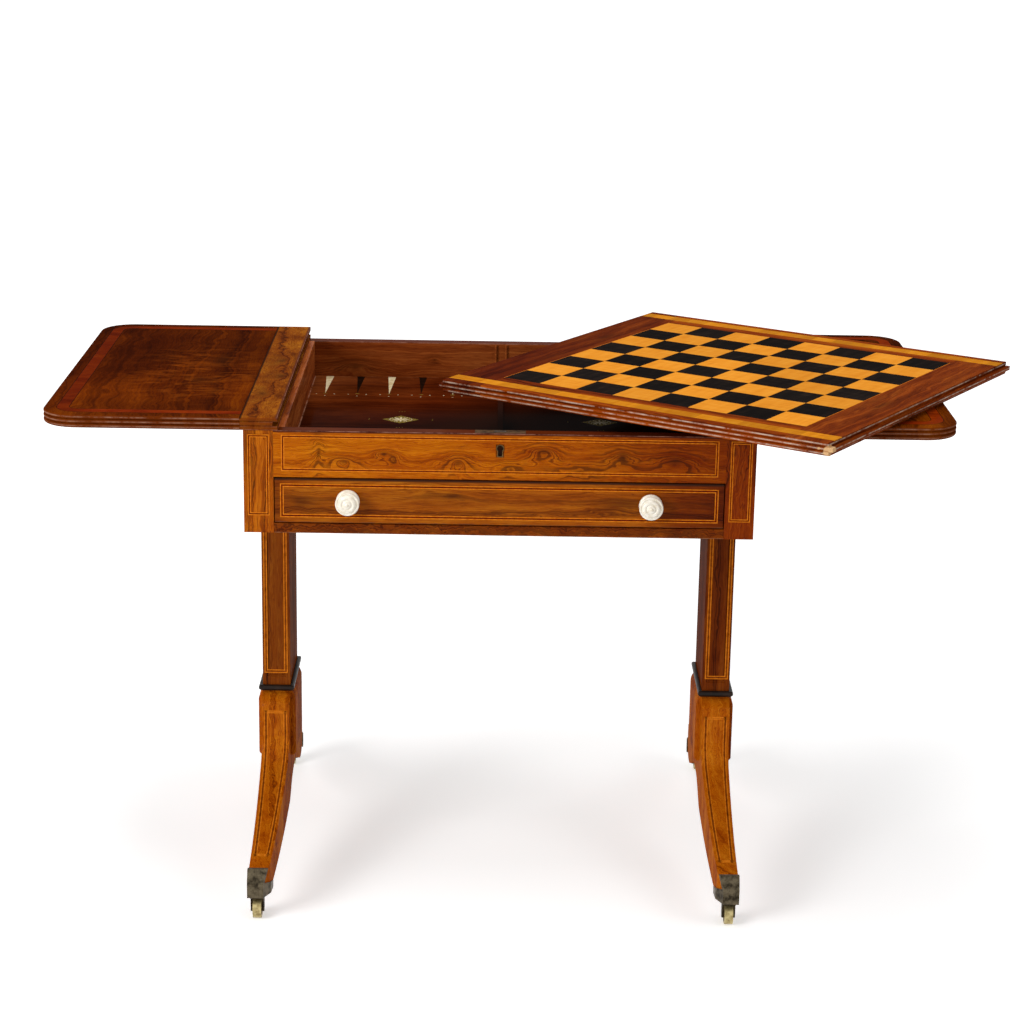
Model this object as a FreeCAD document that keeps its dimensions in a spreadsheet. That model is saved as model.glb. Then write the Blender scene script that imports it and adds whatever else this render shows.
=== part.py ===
import FreeCAD, Part
import math
import os
import re
import Sketcher

# A games table with two drop leaves, a backgammon well, a drawer and a lift-off chess board.
# Everything is laid out about the middle of the case on the floor: X along the front, -Y towards the
# sitter, +Z up. The last section moves the whole table so that the origin is under the middle of it all.

# driving sizes, in millimetres

SIZES = [
    ("topHeight", 730, "floor to the top of the strips and leaves"),
    ("topThickness", 18, "strips, leaves and board"),
    ("topOverhang", 3, "strips, leaves and board past the front and back of the case"),
    ("stripWidth", 50, "fixed top strip over each end of the case"),
    ("stripOverhang", 4, "strip past the side of the case"),
    ("leafWidth", 267.6, "hinge side to outer edge"),
    ("leafGap", 0.4, "open joint between strip and leaf"),
    ("leafCorner", 48, "radius of the leaf's outer corners"),
    ("reedFlat", 0.36, "flat left between the two roundings of a reed"),
    ("bandInset", 17, "leaf edge to its crossbanding"),
    ("bandWidth", 18, "crossbanding"),
    ("veneerDepth", 1, "crossbanding and stringing"),
    ("caseWidth", 686, ""),
    ("caseDepth", 584, ""),
    ("caseHeight", 142, ""),
    ("cornerWidth", 40, "pilaster across the front"),
    ("cornerDepth", 40, "pilaster front to back"),
    ("railThickness", 20, "frieze, bottom and back rails"),
    ("bottomRailHeight", 13.5, ""),
    ("sideThickness", 14, "inner side panel"),
    ("flyRailThickness", 22, "outer rail that the bracket folds into"),
    ("wellFloorLift", 0.8, "underside of the well floor above the foot of the frieze rail"),
    ("wellFloorThickness", 8, ""),
    ("pointBase", 12, "backgammon point"),
    ("pointLength", 115, ""),
    ("pointDepth", 1, "thickness of the inlaid points"),
    ("barWidth", 8, "bar across the middle of the well"),
    ("barHeight", 10, ""),
    ("guideRadius", 2, "beads that guide a divider at the bar's ends"),
    ("guideOffset", 8, "bead to the middle of the bar"),
    ("guideDrop", 2, "case top to the top of a bead"),
    ("medallionLength", 53, ""),
    ("medallionWidth", 45, ""),
    ("drawerFrontHeight", 61.4, ""),
    ("drawerFrontThickness", 18, ""),
    ("drawerGap", 1.5, "round the drawer front"),
    ("drawerSideThickness", 8, ""),
    ("drawerSideDrop", 3.8, "drawer front to the top of the sides"),
    ("drawerBottomThickness", 6, ""),
    ("drawerBottomRise", 5, "underside of the sides to the bottom"),
    ("drawerBackDrop", 4, "drawer back below the top of the sides"),
    ("stopDepth", 20.5, "drawer stop at the back of a runner"),
    ("drawerSlack", 0.5, "each side of the drawer box"),
    ("runnerWidth", 24, ""),
    ("runnerGap", 0.3, "drawer side above its runner"),
    ("sideLift", 0.6, "foot of the drawer front to the foot of its sides"),
    ("stopHeight", 14, ""),
    ("knobSpread", 203.4, "middle of the front to a knob"),
    ("knobRadius", 16.5, ""),
    ("knobReach", 25, "knob out from the drawer front"),
    ("knobStem", 5.5, "radius of the knob's neck"),
    ("stringWidth", 2.4, "light and dark line round a panel"),
    ("friezeStringSide", 11, ""),
    ("friezeStringTop", 6, ""),
    ("friezeStringFoot", 9, ""),
    ("drawerStringInset", 8, ""),
    ("pilasterStringSide", 7, ""),
    ("pilasterStringTop", 5, ""),
    ("pilasterStringFoot", 24, ""),
    ("postStringSide", 6.5, ""),
    ("postStringTop", 5, ""),
    ("postStringFoot", 22, ""),
    ("postWidth", 40.5, ""),
    ("postDepth", 123, ""),
    ("postFoot", 259, "floor to the foot of the post"),
    ("kneeReveal", 2, "collar to the rounded tops of legs and cheeks"),
    ("tenonWidth", 12, "post's top tenon"),
    ("tenonDepth", 90, ""),
    ("tenonLength", 50, ""),
    ("collarReach", 5.5, "collar out from the post"),
    ("collarHeight", 9, ""),
    ("collarFootBevel", 3.5, ""),
    ("collarTopBevel", 1.5, ""),
    ("archSpring", 106, "floor to the arch where it meets a leg"),
    ("archRadius", 126, ""),
    ("cheekThickness", 7, ""),
    ("cheekDepth", 112, ""),
    ("cheekFoot", 155, ""),
    ("cheekShoulder", 15, "height of the rounded top of a cheek"),
    ("cheekShoulderRadius", 20, ""),
    ("cheekHeel", 5, ""),
    ("cheekHeelRadius", 8, ""),
    ("legShoulder", 24.5, "radius of the leg's rounded top"),
    ("legKneeHeight", 196, "floor to where the leg leaves the vertical"),
    ("legBendReach", 18, "knee to the end of the tight bend, outwards"),
    ("legBendDrop", 33, "and downwards"),
    ("legBendRadius", 70, ""),
    ("legSweepRadius", 520, "front of the leg"),
    ("legUnderRadius", 650, "underside of the leg"),
    ("toeWidth", 28.5, "leg across, where its toe begins"),
    ("tipWidth", 19.5, "wood across the tip of the toe"),
    ("tuckLength", 18, "tip to where the toe narrows more sharply"),
    ("toeReach", 306, "middle of the table to the tip of the toe"),
    ("toeSlope", 9, "top of the toe behind its tip"),
    ("toeFaceHeight", 18, "upright face of the toe"),
    ("toeHeight", 36, ""),
    ("toeLength", 36, ""),
    ("capWall", 1.8, ""),
    ("capFloor", 3.4, "brass under the toe"),
    ("capHeel", 6, "brass above the sole at the heel"),
    ("capLap", 3, "lip of the front plate round the sides"),
    ("castorBehindToe", 16, "tip of the toe to the swivel"),
    ("castorInset", 10.5, "outer face of the leg to the swivel"),
    ("castorTrail", 7, "swivel to axle"),
    ("stemRadius", 4, ""),
    ("stemLength", 30, ""),
    ("runningFit", 0.06, "radial clearance of pins and stems"),
    ("crownRadius", 4.6, "neck of the fork"),
    ("crownHeight", 5.4, ""),
    ("yokeRise", 3.8, "height of the fork's sloping shoulders"),
    ("crownGap", 0.3, ""),
    ("wheelGap", 3.9, "wheel to the crown above it"),
    ("bridgeDrop", 0.6, "bridge of the fork below its crown"),
    ("wheelRadius", 15, ""),
    ("wheelWidth", 12, ""),
    ("wheelDish", 1.5, "depth of the dished side of a wheel"),
    ("wheelRim", 4, "radial width of the rim"),
    ("wheelHub", 5, "radius of the hub"),
    ("hornThickness", 3, ""),
    ("hornWidth", 12, ""),
    ("hornGap", 0.4, "horn to wheel hub"),
    ("axleRadius", 2, ""),
    ("bracketLength", 163, "pivot to tip"),
    ("bracketHeight", 72.5, ""),
    ("bracketTipCut", 10, "tip of the bracket, bottom behind top"),
    ("bracketCoveRadius", 80, ""),
    ("bracketPivot", 99, "middle of the side to the pivot"),
    ("bracketSlack", 0.3, "round a folded bracket"),
    ("notchSlack", 6, "finger room past the bracket's tip"),
    ("pivotPinRadius", 2.5, ""),
    ("pivotPinTail", 16, "pin below the bracket"),
    ("hingeSetback", 87, "end of the case to the middle of a hinge"),
    ("hingeLength", 60, ""),
    ("hingePlateWidth", 28, ""),
    ("hingePlateThickness", 1.6, ""),
    ("hingePlateInlet", 0.6, "plate let into the underside of the top"),
    ("hingeDrop", 3, "hinge axis below the underside of the top"),
    ("hingeInset", 0.2, "strip edge to hinge axis"),
    ("knuckleRadius", 2.8, ""),
    ("knuckleGap", 0.1, ""),
    ("knuckleSlack", 0.5, "plate edge to knuckle"),
    ("middleKnuckle", 20, "length of the leaf's knuckle"),
    ("hingePinRadius", 1.2, ""),
    ("lockWidth", 60, ""),
    ("lockDepth", 11, ""),
    ("lockHeight", 40, ""),
    ("plateWidth", 68, "brass plate over the lock"),
    ("plateDepth", 17, ""),
    ("plateThickness", 1.6, ""),
    ("boltWidth", 16, ""),
    ("boltThickness", 5, ""),
    ("boltLength", 14, ""),
    ("boltTravel", 6, ""),
    ("boltSlack", 0.3, ""),
    ("keyDrop", 20, "case top to the eye of the keyhole"),
    ("keyEye", 2.3, ""),
    ("keySlot", 2.6, ""),
    ("keySlotLength", 8, ""),
    ("escutcheonWidth", 11, ""),
    ("escutcheonHeight", 18, ""),
    ("escutcheonThickness", 1.2, ""),
    ("boardSlack", 1, "each end of the board between the strips"),
    ("squareJoint", 0.1, "knife line between squares"),
    ("squareDepth", 1.5, ""),
    ("clampWidth", 62, ""),
    ("borderWidth", 22, "field to the yellow band"),
    ("boardBandWidth", 24, ""),
    ("bandMargin", 15, "yellow band to the reeded edge"),
    ("tongueReach", 6, ""),
    ("tongueThickness", 5.6, ""),
    ("tongueSlack", 0.3, "groove round the tongue"),
    ("clampTongue", 8, "panel's own tongue in the clamp"),
    ("boardTurn", 33, "degrees, clockwise from above"),
    ("boardX", 328, "middle of the board from the middle of the case"),
    ("boardY", -47, ""),
    ("boardRest", 0.2, "board above what it lies on"),
]

# what follows from the sizes
PLACES = [
    ("reedHeight", "topThickness / 3"),
    ("undersideZ", "topHeight - topThickness"),
    ("caseFootZ", "undersideZ - caseHeight"),
    ("keyHeight", "undersideZ - keyDrop"),
    ("halfWidth", "caseWidth / 2"),
    ("halfDepth", "caseDepth / 2"),
    ("topDepth", "caseDepth + 2 * topOverhang"),
    ("halfTop", "topDepth / 2"),
    ("stripOuterX", "halfWidth + stripOverhang"),
    ("stripInnerX", "stripOuterX - stripWidth"),
    ("leafX", "stripOuterX + leafGap"),
    ("leafOuterX", "leafX + leafWidth"),
    ("cornerX", "halfWidth - cornerWidth"),
    ("wellX", "cornerX - sideThickness"),
    ("railY", "halfDepth - railThickness"),
    ("cornerY", "halfDepth - cornerDepth"),
    ("flyX", "halfWidth - flyRailThickness"),
    ("railTopZ", "caseFootZ + bottomRailHeight"),
    ("drawerFootZ", "railTopZ + drawerGap"),
    ("drawerTopZ", "drawerFootZ + drawerFrontHeight"),
    ("friezeFootZ", "drawerTopZ + drawerGap"),
    ("wellUnderZ", "friezeFootZ + wellFloorLift"),
    ("wellFloorZ", "wellUnderZ + wellFloorThickness"),
    ("pointSpacing", "wellX / 6"),
    ("drawerFrontX", "cornerX - drawerGap"),
    ("drawerBackOfFrontY", "-halfDepth + drawerFrontThickness"),
    ("drawerSideX", "wellX - drawerSlack"),
    ("drawerInsideX", "drawerSideX - drawerSideThickness"),
    ("drawerEndY", "railY - stopDepth - drawerGap"),
    ("sideFootZ", "drawerFootZ + sideLift"),
    ("sideTopZ", "drawerTopZ - drawerSideDrop"),
    ("drawerPanelZ", "sideFootZ + drawerBottomRise"),
    ("knobZ", "drawerFootZ + drawerFrontHeight / 2"),
    ("postInnerX", "halfWidth - postWidth"),
    ("postX", "halfWidth - postWidth / 2"),
    ("halfPost", "postDepth / 2"),
    ("kneeTopZ", "postFoot - kneeReveal"),
    ("crownZ", "2 * wheelRadius + wheelGap"),
    ("capFootZ", "crownZ + crownHeight + crownGap"),
    ("toeFoot", "capFootZ + capFloor"),
    ("toeBendHeight", "toeFoot + toeFaceHeight"),
    ("toeTopHeight", "toeFoot + toeHeight"),
    ("toeTopReach", "toeReach - toeSlope"),
    ("toeInnerX", "halfWidth - toeWidth"),
    ("toeTipX", "halfWidth - tipWidth"),
    ("castorReach", "toeReach - castorBehindToe"),
    ("castorSide", "halfWidth - castorInset"),
    ("bracketThickness", "flyRailThickness - 2 * bracketSlack"),
    ("bracketX", "flyX + bracketSlack"),
    ("pivotX", "bracketX + bracketThickness / 2"),
    ("bracketFootZ", "undersideZ - bracketSlack - bracketHeight"),
    ("hingeX", "stripOuterX + hingeInset"),
    ("hingeSpread", "halfDepth - hingeSetback"),
    ("hingeZ", "undersideZ - hingeDrop"),
    ("plateFootZ", "undersideZ + hingePlateInlet - hingePlateThickness"),
    ("knuckleClear", "knuckleRadius + knuckleSlack"),
    ("grooveHalf", "tongueThickness / 2 + tongueSlack"),
    ("boardLength", "2 * stripInnerX - 2 * boardSlack"),
    ("halfBoard", "boardLength / 2"),
    ("panelHalf", "halfBoard - clampWidth"),
    ("bandY", "halfTop - bandMargin - boardBandWidth"),
    ("fieldHalf", "min(panelHalf; bandY - borderWidth)"),
    ("squareSize", "fieldHalf / 4"),
    ("boardReach", "(halfBoard + tongueReach) * cos(boardTurn) + halfTop * sin(boardTurn)"),
    ("frameX", "(leafOuterX - boardX - boardReach) / 2"),
    ("frameY", "-boardY"),
]

doc = FreeCAD.newDocument("GamesTable")
sizes = doc.addObject("Spreadsheet::Sheet", "Sizes")
places = doc.addObject("Spreadsheet::Sheet", "Places")
scratch = doc.addObject("Spreadsheet::Sheet", "Scratch")

OWNER = {}
for row, (alias, number, note) in enumerate(SIZES, 1):
    sizes.set("A%d" % row, alias)
    sizes.set("B%d" % row, str(number))
    sizes.set("C%d" % row, note)
    sizes.setAlias("B%d" % row, alias)
    OWNER[alias] = "Sizes."
doc.recompute()


def bound(text):
    # turns plain aliases into references to the sheets
    return re.sub(r"[A-Za-z_]\w*", lambda word: OWNER.get(word.group(), "") + word.group(), str(text))


for row, (alias, formula) in enumerate(PLACES, 1):
    places.set("A%d" % row, alias)
    places.set("B%d" % row, "=" + bound(formula))
    places.setAlias("B%d" % row, alias)
    OWNER[alias] = "Places."
doc.recompute()


def worth(text):
    # the number that a formula stands for now, for a sketch's first guess
    scratch.set("A1", "=" + bound(text))
    scratch.recompute()
    return float(scratch.get("A1"))


# helpers

def minus(high, low):
    return "(%s) - (%s)" % (high, low)


def place(thing, x="0", y="0", z="0"):
    for letter, text in (("x", x), ("y", y), ("z", z)):
        thing.setExpression("Placement.Base." + letter, bound(text))
    return thing


def block(name, x, y, z):
    # a box between two values along each axis
    box = doc.addObject("Part::Box", name)
    for side, (low, high) in (("Length", x), ("Width", y), ("Height", z)):
        box.setExpression(side, bound(minus(high, low)))
    return place(box, x[0], y[0], z[0])


TURNS = {
    "x": FreeCAD.Rotation(FreeCAD.Vector(0, 1, 0), 90),
    "y": FreeCAD.Rotation(FreeCAD.Vector(1, 0, 0), -90),
    "z": FreeCAD.Rotation(),
}


def rod(name, axis, x, y, z, radius, length):
    # a cylinder from its start point along +X, +Y or +Z
    cylinder = doc.addObject("Part::Cylinder", name)
    cylinder.Placement = FreeCAD.Placement(FreeCAD.Vector(), TURNS[axis])
    cylinder.setExpression("Radius", bound(radius))
    cylinder.setExpression("Height", bound(length))
    return place(cylinder, x, y, z)


def fuse(name, parts):
    joined = doc.addObject("Part::MultiFuse", name)
    joined.Shapes = parts
    return joined


def cut(name, base, tools):
    cutter = tools[0] if len(tools) == 1 else fuse(name + "Tools", tools)
    result = doc.addObject("Part::Cut", name)
    result.Base = base
    result.Tool = cutter
    return result


def copy_of(name, source):
    # the same shape again, so that one shape can be a piece and also cut its own seat
    twin = doc.addObject("Part::Compound", name)
    twin.Links = [source]
    return twin


def mirrored(name, source, normal):
    twin = doc.addObject("Part::Mirroring", name)
    twin.Source = source
    twin.Base = FreeCAD.Vector(0, 0, 0)
    twin.Normal = FreeCAD.Vector(*normal)
    return twin


ACROSS = (1, 0, 0)
ALONG = (0, 1, 0)
NODES = []


def node(label, parts):
    piece = doc.addObject("Part::Compound", "Node_" + label)
    piece.Links = parts
    piece.Label = label
    place(piece, "frameX", "frameY", "0")
    NODES.append(piece)
    return piece


def pair(label, source):
    return node(label, [source, mirrored(label + "Twin", source, ACROSS)])


def sketch_in(body, role, name):
    sketch = body.newObject("Sketcher::SketchObject", name)
    plane = [f for f in body.Origin.OriginFeatures if f.Role == role][0]
    sketch.AttachmentSupport = [(plane, "")]
    sketch.MapMode = "FlatFace"
    return sketch


def outline(sketch, corners):
    # corners: (x, y) ends a straight run; (x, y, radius, side) ends an arc whose centre lies to that side
    spots = [(worth(c[0]), worth(c[1])) for c in corners]
    count = len(corners)
    entry = []
    for i, corner in enumerate(corners):
        (x0, y0), (x1, y1) = spots[i - 1], spots[i]
        if len(corner) == 2:
            line = Part.LineSegment(FreeCAD.Vector(x0, y0, 0), FreeCAD.Vector(x1, y1, 0))
            entry.append((sketch.addGeometry(line), 1, 2))
            continue
        radius = worth(corner[2])
        chord = math.hypot(x1 - x0, y1 - y0)
        offset = math.sqrt(max(radius ** 2 - chord ** 2 / 4, 0.0))
        turn = 1 if corner[3] == "left" else -1
        cx = (x0 + x1) / 2 - turn * offset * (y1 - y0) / chord
        cy = (y0 + y1) / 2 + turn * offset * (x1 - x0) / chord
        start = math.atan2(y0 - cy, x0 - cx)
        end = math.atan2(y1 - cy, x1 - cx)
        circle = Part.Circle(FreeCAD.Vector(cx, cy, 0), FreeCAD.Vector(0, 0, 1), radius)
        if turn == 1:
            entry.append((sketch.addGeometry(Part.ArcOfCircle(circle, start, end)), 1, 2))
        else:
            entry.append((sketch.addGeometry(Part.ArcOfCircle(circle, end, start)), 2, 1))
    for i, corner in enumerate(corners):
        geo, begin, finish = entry[i]
        following, next_begin, _ = entry[(i + 1) % count]
        sketch.addConstraint(Sketcher.Constraint("Coincident", geo, finish, following, next_begin))
        across = (-2, "DistanceX", corner[0], spots[i][0])
        upward = (-1, "DistanceY", corner[1], spots[i][1])
        for axis, kind, text, value in (across, upward):
            if str(text) == "0":
                sketch.addConstraint(Sketcher.Constraint("PointOnObject", geo, finish, axis))
            else:
                index = sketch.addConstraint(Sketcher.Constraint(kind, -1, 1, geo, finish, value))
                sketch.setExpression("Constraints[%d]" % index, bound(text))
        if len(corner) == 4:
            index = sketch.addConstraint(Sketcher.Constraint("Radius", geo, worth(corner[2])))
            sketch.setExpression("Constraints[%d]" % index, bound(corner[2]))


def padded(name, role, corners, length):
    # a body with one closed outline pushed out along its plane's normal
    body = doc.addObject("PartDesign::Body", name)
    sketch = sketch_in(body, role, name + "Outline")
    outline(sketch, corners)
    pad = body.newObject("PartDesign::Pad", name + "Pad")
    pad.Profile = sketch
    pad.setExpression("Length", bound(length))
    body.Tip = pad
    return body


def turned(name, corners):
    # a body with one closed outline spun about the sketch's vertical axis
    body = doc.addObject("PartDesign::Body", name)
    sketch = sketch_in(body, "XZ_Plane", name + "Outline")
    outline(sketch, corners)
    spin = body.newObject("PartDesign::Revolution", name + "Spin")
    spin.Profile = sketch
    spin.ReferenceAxis = (sketch, ["V_Axis"])
    spin.Angle = 360
    body.Tip = spin
    return body


def dressed(body, kind, prop, size, wanted):
    # rounds or bevels the edges of a body's tip that pass the test
    doc.recompute()
    tip = body.Tip
    names = ["Edge%d" % (i + 1) for i, edge in enumerate(tip.Shape.Edges) if wanted(edge)]
    dress = body.newObject("PartDesign::" + kind, body.Name + kind + str(len(body.Group)))
    dress.Base = (tip, names)
    dress.setExpression(prop, bound(size))
    body.Tip = dress
    return body


def level(edge):
    box = edge.BoundBox
    return box.ZLength < 1e-6


# case

def corner_posts():
    front = block(
        "FrontPost",
        ("cornerX", "halfWidth"),
        ("-halfDepth", "-cornerY"),
        ("caseFootZ", "undersideZ"),
    )
    back = block(
        "BackPost",
        ("cornerX", "halfWidth"),
        ("cornerY", "halfDepth"),
        ("caseFootZ", "undersideZ"),
    )
    seated = cut("FrontPostInlaid", front, [copy_of("PilasterStringSeat", ring_on_pilaster())])
    node("corner_posts", [
        seated, back, mirrored("FrontPostLeft", seated, ACROSS), mirrored("BackPostLeft", back, ACROSS),
    ])


def ring(name, x, z, face_y, width="stringWidth", depth="veneerDepth"):
    # a rectangular line of stringing let into a front face
    outer = block(name + "Outer", x, (face_y, face_y + " + " + depth), z)
    inner = block(
        name + "Inner",
        (x[0] + " + " + width, x[1] + " - " + width),
        (face_y + " - 1", face_y + " + " + depth + " + 1"),
        (z[0] + " + " + width, z[1] + " - " + width),
    )
    return cut(name, outer, [inner])


RINGS = {}


def ring_on_pilaster():
    if "pilaster" not in RINGS:
        RINGS["pilaster"] = ring(
            "PilasterString",
            ("cornerX + pilasterStringSide", "halfWidth - pilasterStringSide"),
            ("caseFootZ + pilasterStringFoot", "undersideZ - pilasterStringTop"),
            "-halfDepth",
        )
    return RINGS["pilaster"]


def ring_on_frieze():
    if "frieze" not in RINGS:
        RINGS["frieze"] = ring(
            "FriezeString",
            ("-cornerX + friezeStringSide", "cornerX - friezeStringSide"),
            ("friezeFootZ + friezeStringFoot", "undersideZ - friezeStringTop"),
            "-halfDepth",
        )
    return RINGS["frieze"]


def key_tools(name):
    eye = rod(name + "Eye", "y", "0", "-halfDepth - 1", "keyHeight", "keyEye", "railThickness")
    slot = block(
        name + "Slot",
        ("-keySlot / 2", "keySlot / 2"),
        ("-halfDepth - 1", "-halfDepth + railThickness - 1"),
        ("keyHeight - keySlotLength", "keyHeight"),
    )
    return [eye, slot]


def rails():
    frieze = block(
        "Frieze",
        ("-cornerX", "cornerX"),
        ("-halfDepth", "-railY"),
        ("friezeFootZ", "undersideZ"),
    )
    lock_room = block(
        "LockRoom",
        ("-lockWidth / 2", "lockWidth / 2"),
        ("-railY - lockDepth", "-railY"),
        ("undersideZ - lockHeight", "undersideZ"),
    )
    plate_room = block(
        "PlateRoom",
        ("-plateWidth / 2", "plateWidth / 2"),
        ("-railY - plateDepth", "-railY"),
        ("undersideZ - plateThickness", "undersideZ"),
    )
    shield_room = block(
        "EscutcheonRoom",
        ("-escutcheonWidth / 2", "escutcheonWidth / 2"),
        ("-halfDepth", "-halfDepth + escutcheonThickness"),
        ("keyHeight + escutcheonWidth / 2 - escutcheonHeight", "keyHeight + escutcheonWidth / 2"),
    )
    seat = copy_of("FriezeStringSeat", ring_on_frieze())
    node(
        "frieze_rail",
        [cut("FriezeCut", frieze, [lock_room, plate_room, shield_room, seat] + key_tools("FriezeKey"))],
    )
    node(
        "bottom_rail",
        [block("BottomRail", ("-cornerX", "cornerX"), ("-halfDepth", "-railY"), ("caseFootZ", "railTopZ"))],
    )
    node(
        "back_rail",
        [block("BackRail", ("-cornerX", "cornerX"), ("railY", "halfDepth"), ("caseFootZ", "undersideZ"))],
    )
    node("case_stringing", [
        ring_on_frieze(), ring_on_pilaster(), mirrored("PilasterStringLeft", ring_on_pilaster(), ACROSS),
    ])


def hinge_ends(sign):
    middle = "%s * hingeSpread" % sign
    return middle + " - hingeLength / 2", middle + " + hingeLength / 2"


def plate_seats(name, x):
    # room for both hinges' plates on one side of the joint
    return [
        block(name + tag, x, hinge_ends(sign), ("plateFootZ", "plateFootZ + hingePlateThickness"))
        for tag, sign in (("Front", "-1"), ("Back", "1"))
    ]


def sides():
    pair(
        "side_panels",
        block("SidePanel", ("wellX", "cornerX"), ("-railY", "railY"), ("caseFootZ", "undersideZ")),
    )
    packer = block("Packer", ("cornerX", "flyX"), ("-cornerY", "cornerY"), ("caseFootZ", "undersideZ"))
    mortise = block(
        "PackerMortise",
        ("flyX - tenonWidth", "flyX"),
        ("-tenonDepth / 2", "tenonDepth / 2"),
        ("caseFootZ", "caseFootZ + tenonLength"),
    )
    pair(
        "side_packers",
        cut(
            "PackerCut",
            packer,
            [mortise] + plate_seats("PackerSeat", ("hingeX - hingePlateWidth", "hingeX")),
        ),
    )
    rail = block("FlyRail", ("flyX", "halfWidth"), ("-cornerY", "cornerY"), ("caseFootZ", "undersideZ"))
    notch = block(
        "FlyNotch",
        ("flyX", "halfWidth"),
        ("-bracketPivot - flyRailThickness / 2", "-bracketPivot + bracketLength + notchSlack"),
        ("bracketFootZ - bracketSlack", "undersideZ"),
    )
    hole = rod(
        "FlyPinHole",
        "z",
        "pivotX",
        "-bracketPivot",
        "bracketFootZ - pivotPinTail",
        "pivotPinRadius",
        "pivotPinTail + 1",
    )
    pair(
        "fly_rails",
        cut(
            "FlyRailCut",
            rail,
            [notch, hole] + plate_seats("FlySeat", ("hingeX - hingePlateWidth", "hingeX")),
        ),
    )
    pair(
        "bracket_pins",
        rod(
            "BracketPin",
            "z",
            "pivotX",
            "-bracketPivot",
            "bracketFootZ - pivotPinTail",
            "pivotPinRadius",
            "pivotPinTail + bracketHeight + bracketSlack",
        ),
    )


def runners():
    runner = block(
        "Runner",
        ("wellX - runnerWidth", "wellX"),
        ("-railY", "railY"),
        ("caseFootZ", "sideFootZ - runnerGap"),
    )
    stop = block(
        "RunnerStop",
        ("wellX - runnerWidth", "wellX"),
        ("railY - stopDepth", "railY"),
        ("sideFootZ - runnerGap", "sideFootZ + stopHeight"),
    )
    pair("drawer_runners", fuse("RunnerWithStop", [runner, stop]))


# well

def backgammon_point(name, column, end):
    # a thin triangle with its base against a rail; end is -1 at the front and 1 at the back
    wedge = doc.addObject("Part::Wedge", name)
    wedge.setExpression("Xmin", "0")
    wedge.setExpression("Xmax", bound("pointBase"))
    wedge.setExpression("X2min", bound("pointBase / 2"))
    wedge.setExpression("X2max", bound("pointBase / 2"))
    for prop in ("Ymin", "Zmin", "Z2min"):
        wedge.setExpression(prop, "0")
    wedge.setExpression("Ymax", bound("pointLength"))
    wedge.setExpression("Zmax", bound("pointDepth"))
    wedge.setExpression("Z2max", bound("pointDepth"))
    middle = "(%s) * pointSpacing" % column
    if end == 1:
        wedge.Placement = FreeCAD.Placement(
            FreeCAD.Vector(),
            FreeCAD.Rotation(FreeCAD.Vector(0, 0, 1), 180),
        )
        return place(wedge, middle + " + pointBase / 2", "railY", "wellFloorZ - pointDepth")
    return place(wedge, middle + " - pointBase / 2", "-railY", "wellFloorZ - pointDepth")


def well():
    light = []
    dark = []
    for end in (-1, 1):
        for column in range(12):
            shade = light if (column + (end == -1)) % 2 == 0 else dark
            shade.append(
                backgammon_point(
                    "Point%s%d" % ("Front" if end == -1 else "Back", column),
                    column - 5.5,
                    end,
                ),
            )
    medallion = padded("Medallion", "XY_Plane", [
        ("medallionLength", "medallionWidth / 2"),
        ("medallionLength / 2", "medallionWidth"),
        ("0", "medallionWidth / 2"),
        ("medallionLength / 2", "0"),
    ], "pointDepth")
    place(medallion, "wellX / 2 - medallionLength / 2", "-medallionWidth / 2", "wellFloorZ - pointDepth")
    medallions = [medallion, mirrored("MedallionLeft", medallion, ACROSS)]
    floor = block("WellFloor", ("-wellX", "wellX"), ("-railY", "railY"), ("wellUnderZ", "wellFloorZ"))
    seat = doc.addObject("Part::Compound", "InlaySeats")
    seat.Links = light + dark + medallions
    node("well_floor", [cut("WellFloorCut", floor, [seat])])
    node("well_points_light", light)
    node("well_points_dark", dark)
    node("well_medallions", medallions)
    bar = block(
        "WellBar",
        ("-barWidth / 2", "barWidth / 2"),
        ("-railY", "railY"),
        ("wellFloorZ", "wellFloorZ + barHeight"),
    )
    guides = [
        rod(
            "Guide%d%d" % (i, j),
            "z",
            "%d * guideOffset" % i,
            "%d * (railY - guideRadius)" % j,
            "wellFloorZ",
            "guideRadius",
            "undersideZ - wellFloorZ - guideDrop",
        )
        for i in (-1, 1) for j in (-1, 1)
    ]
    node("well_bar", [bar])
    node("bar_guides", guides)


# lock

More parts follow.
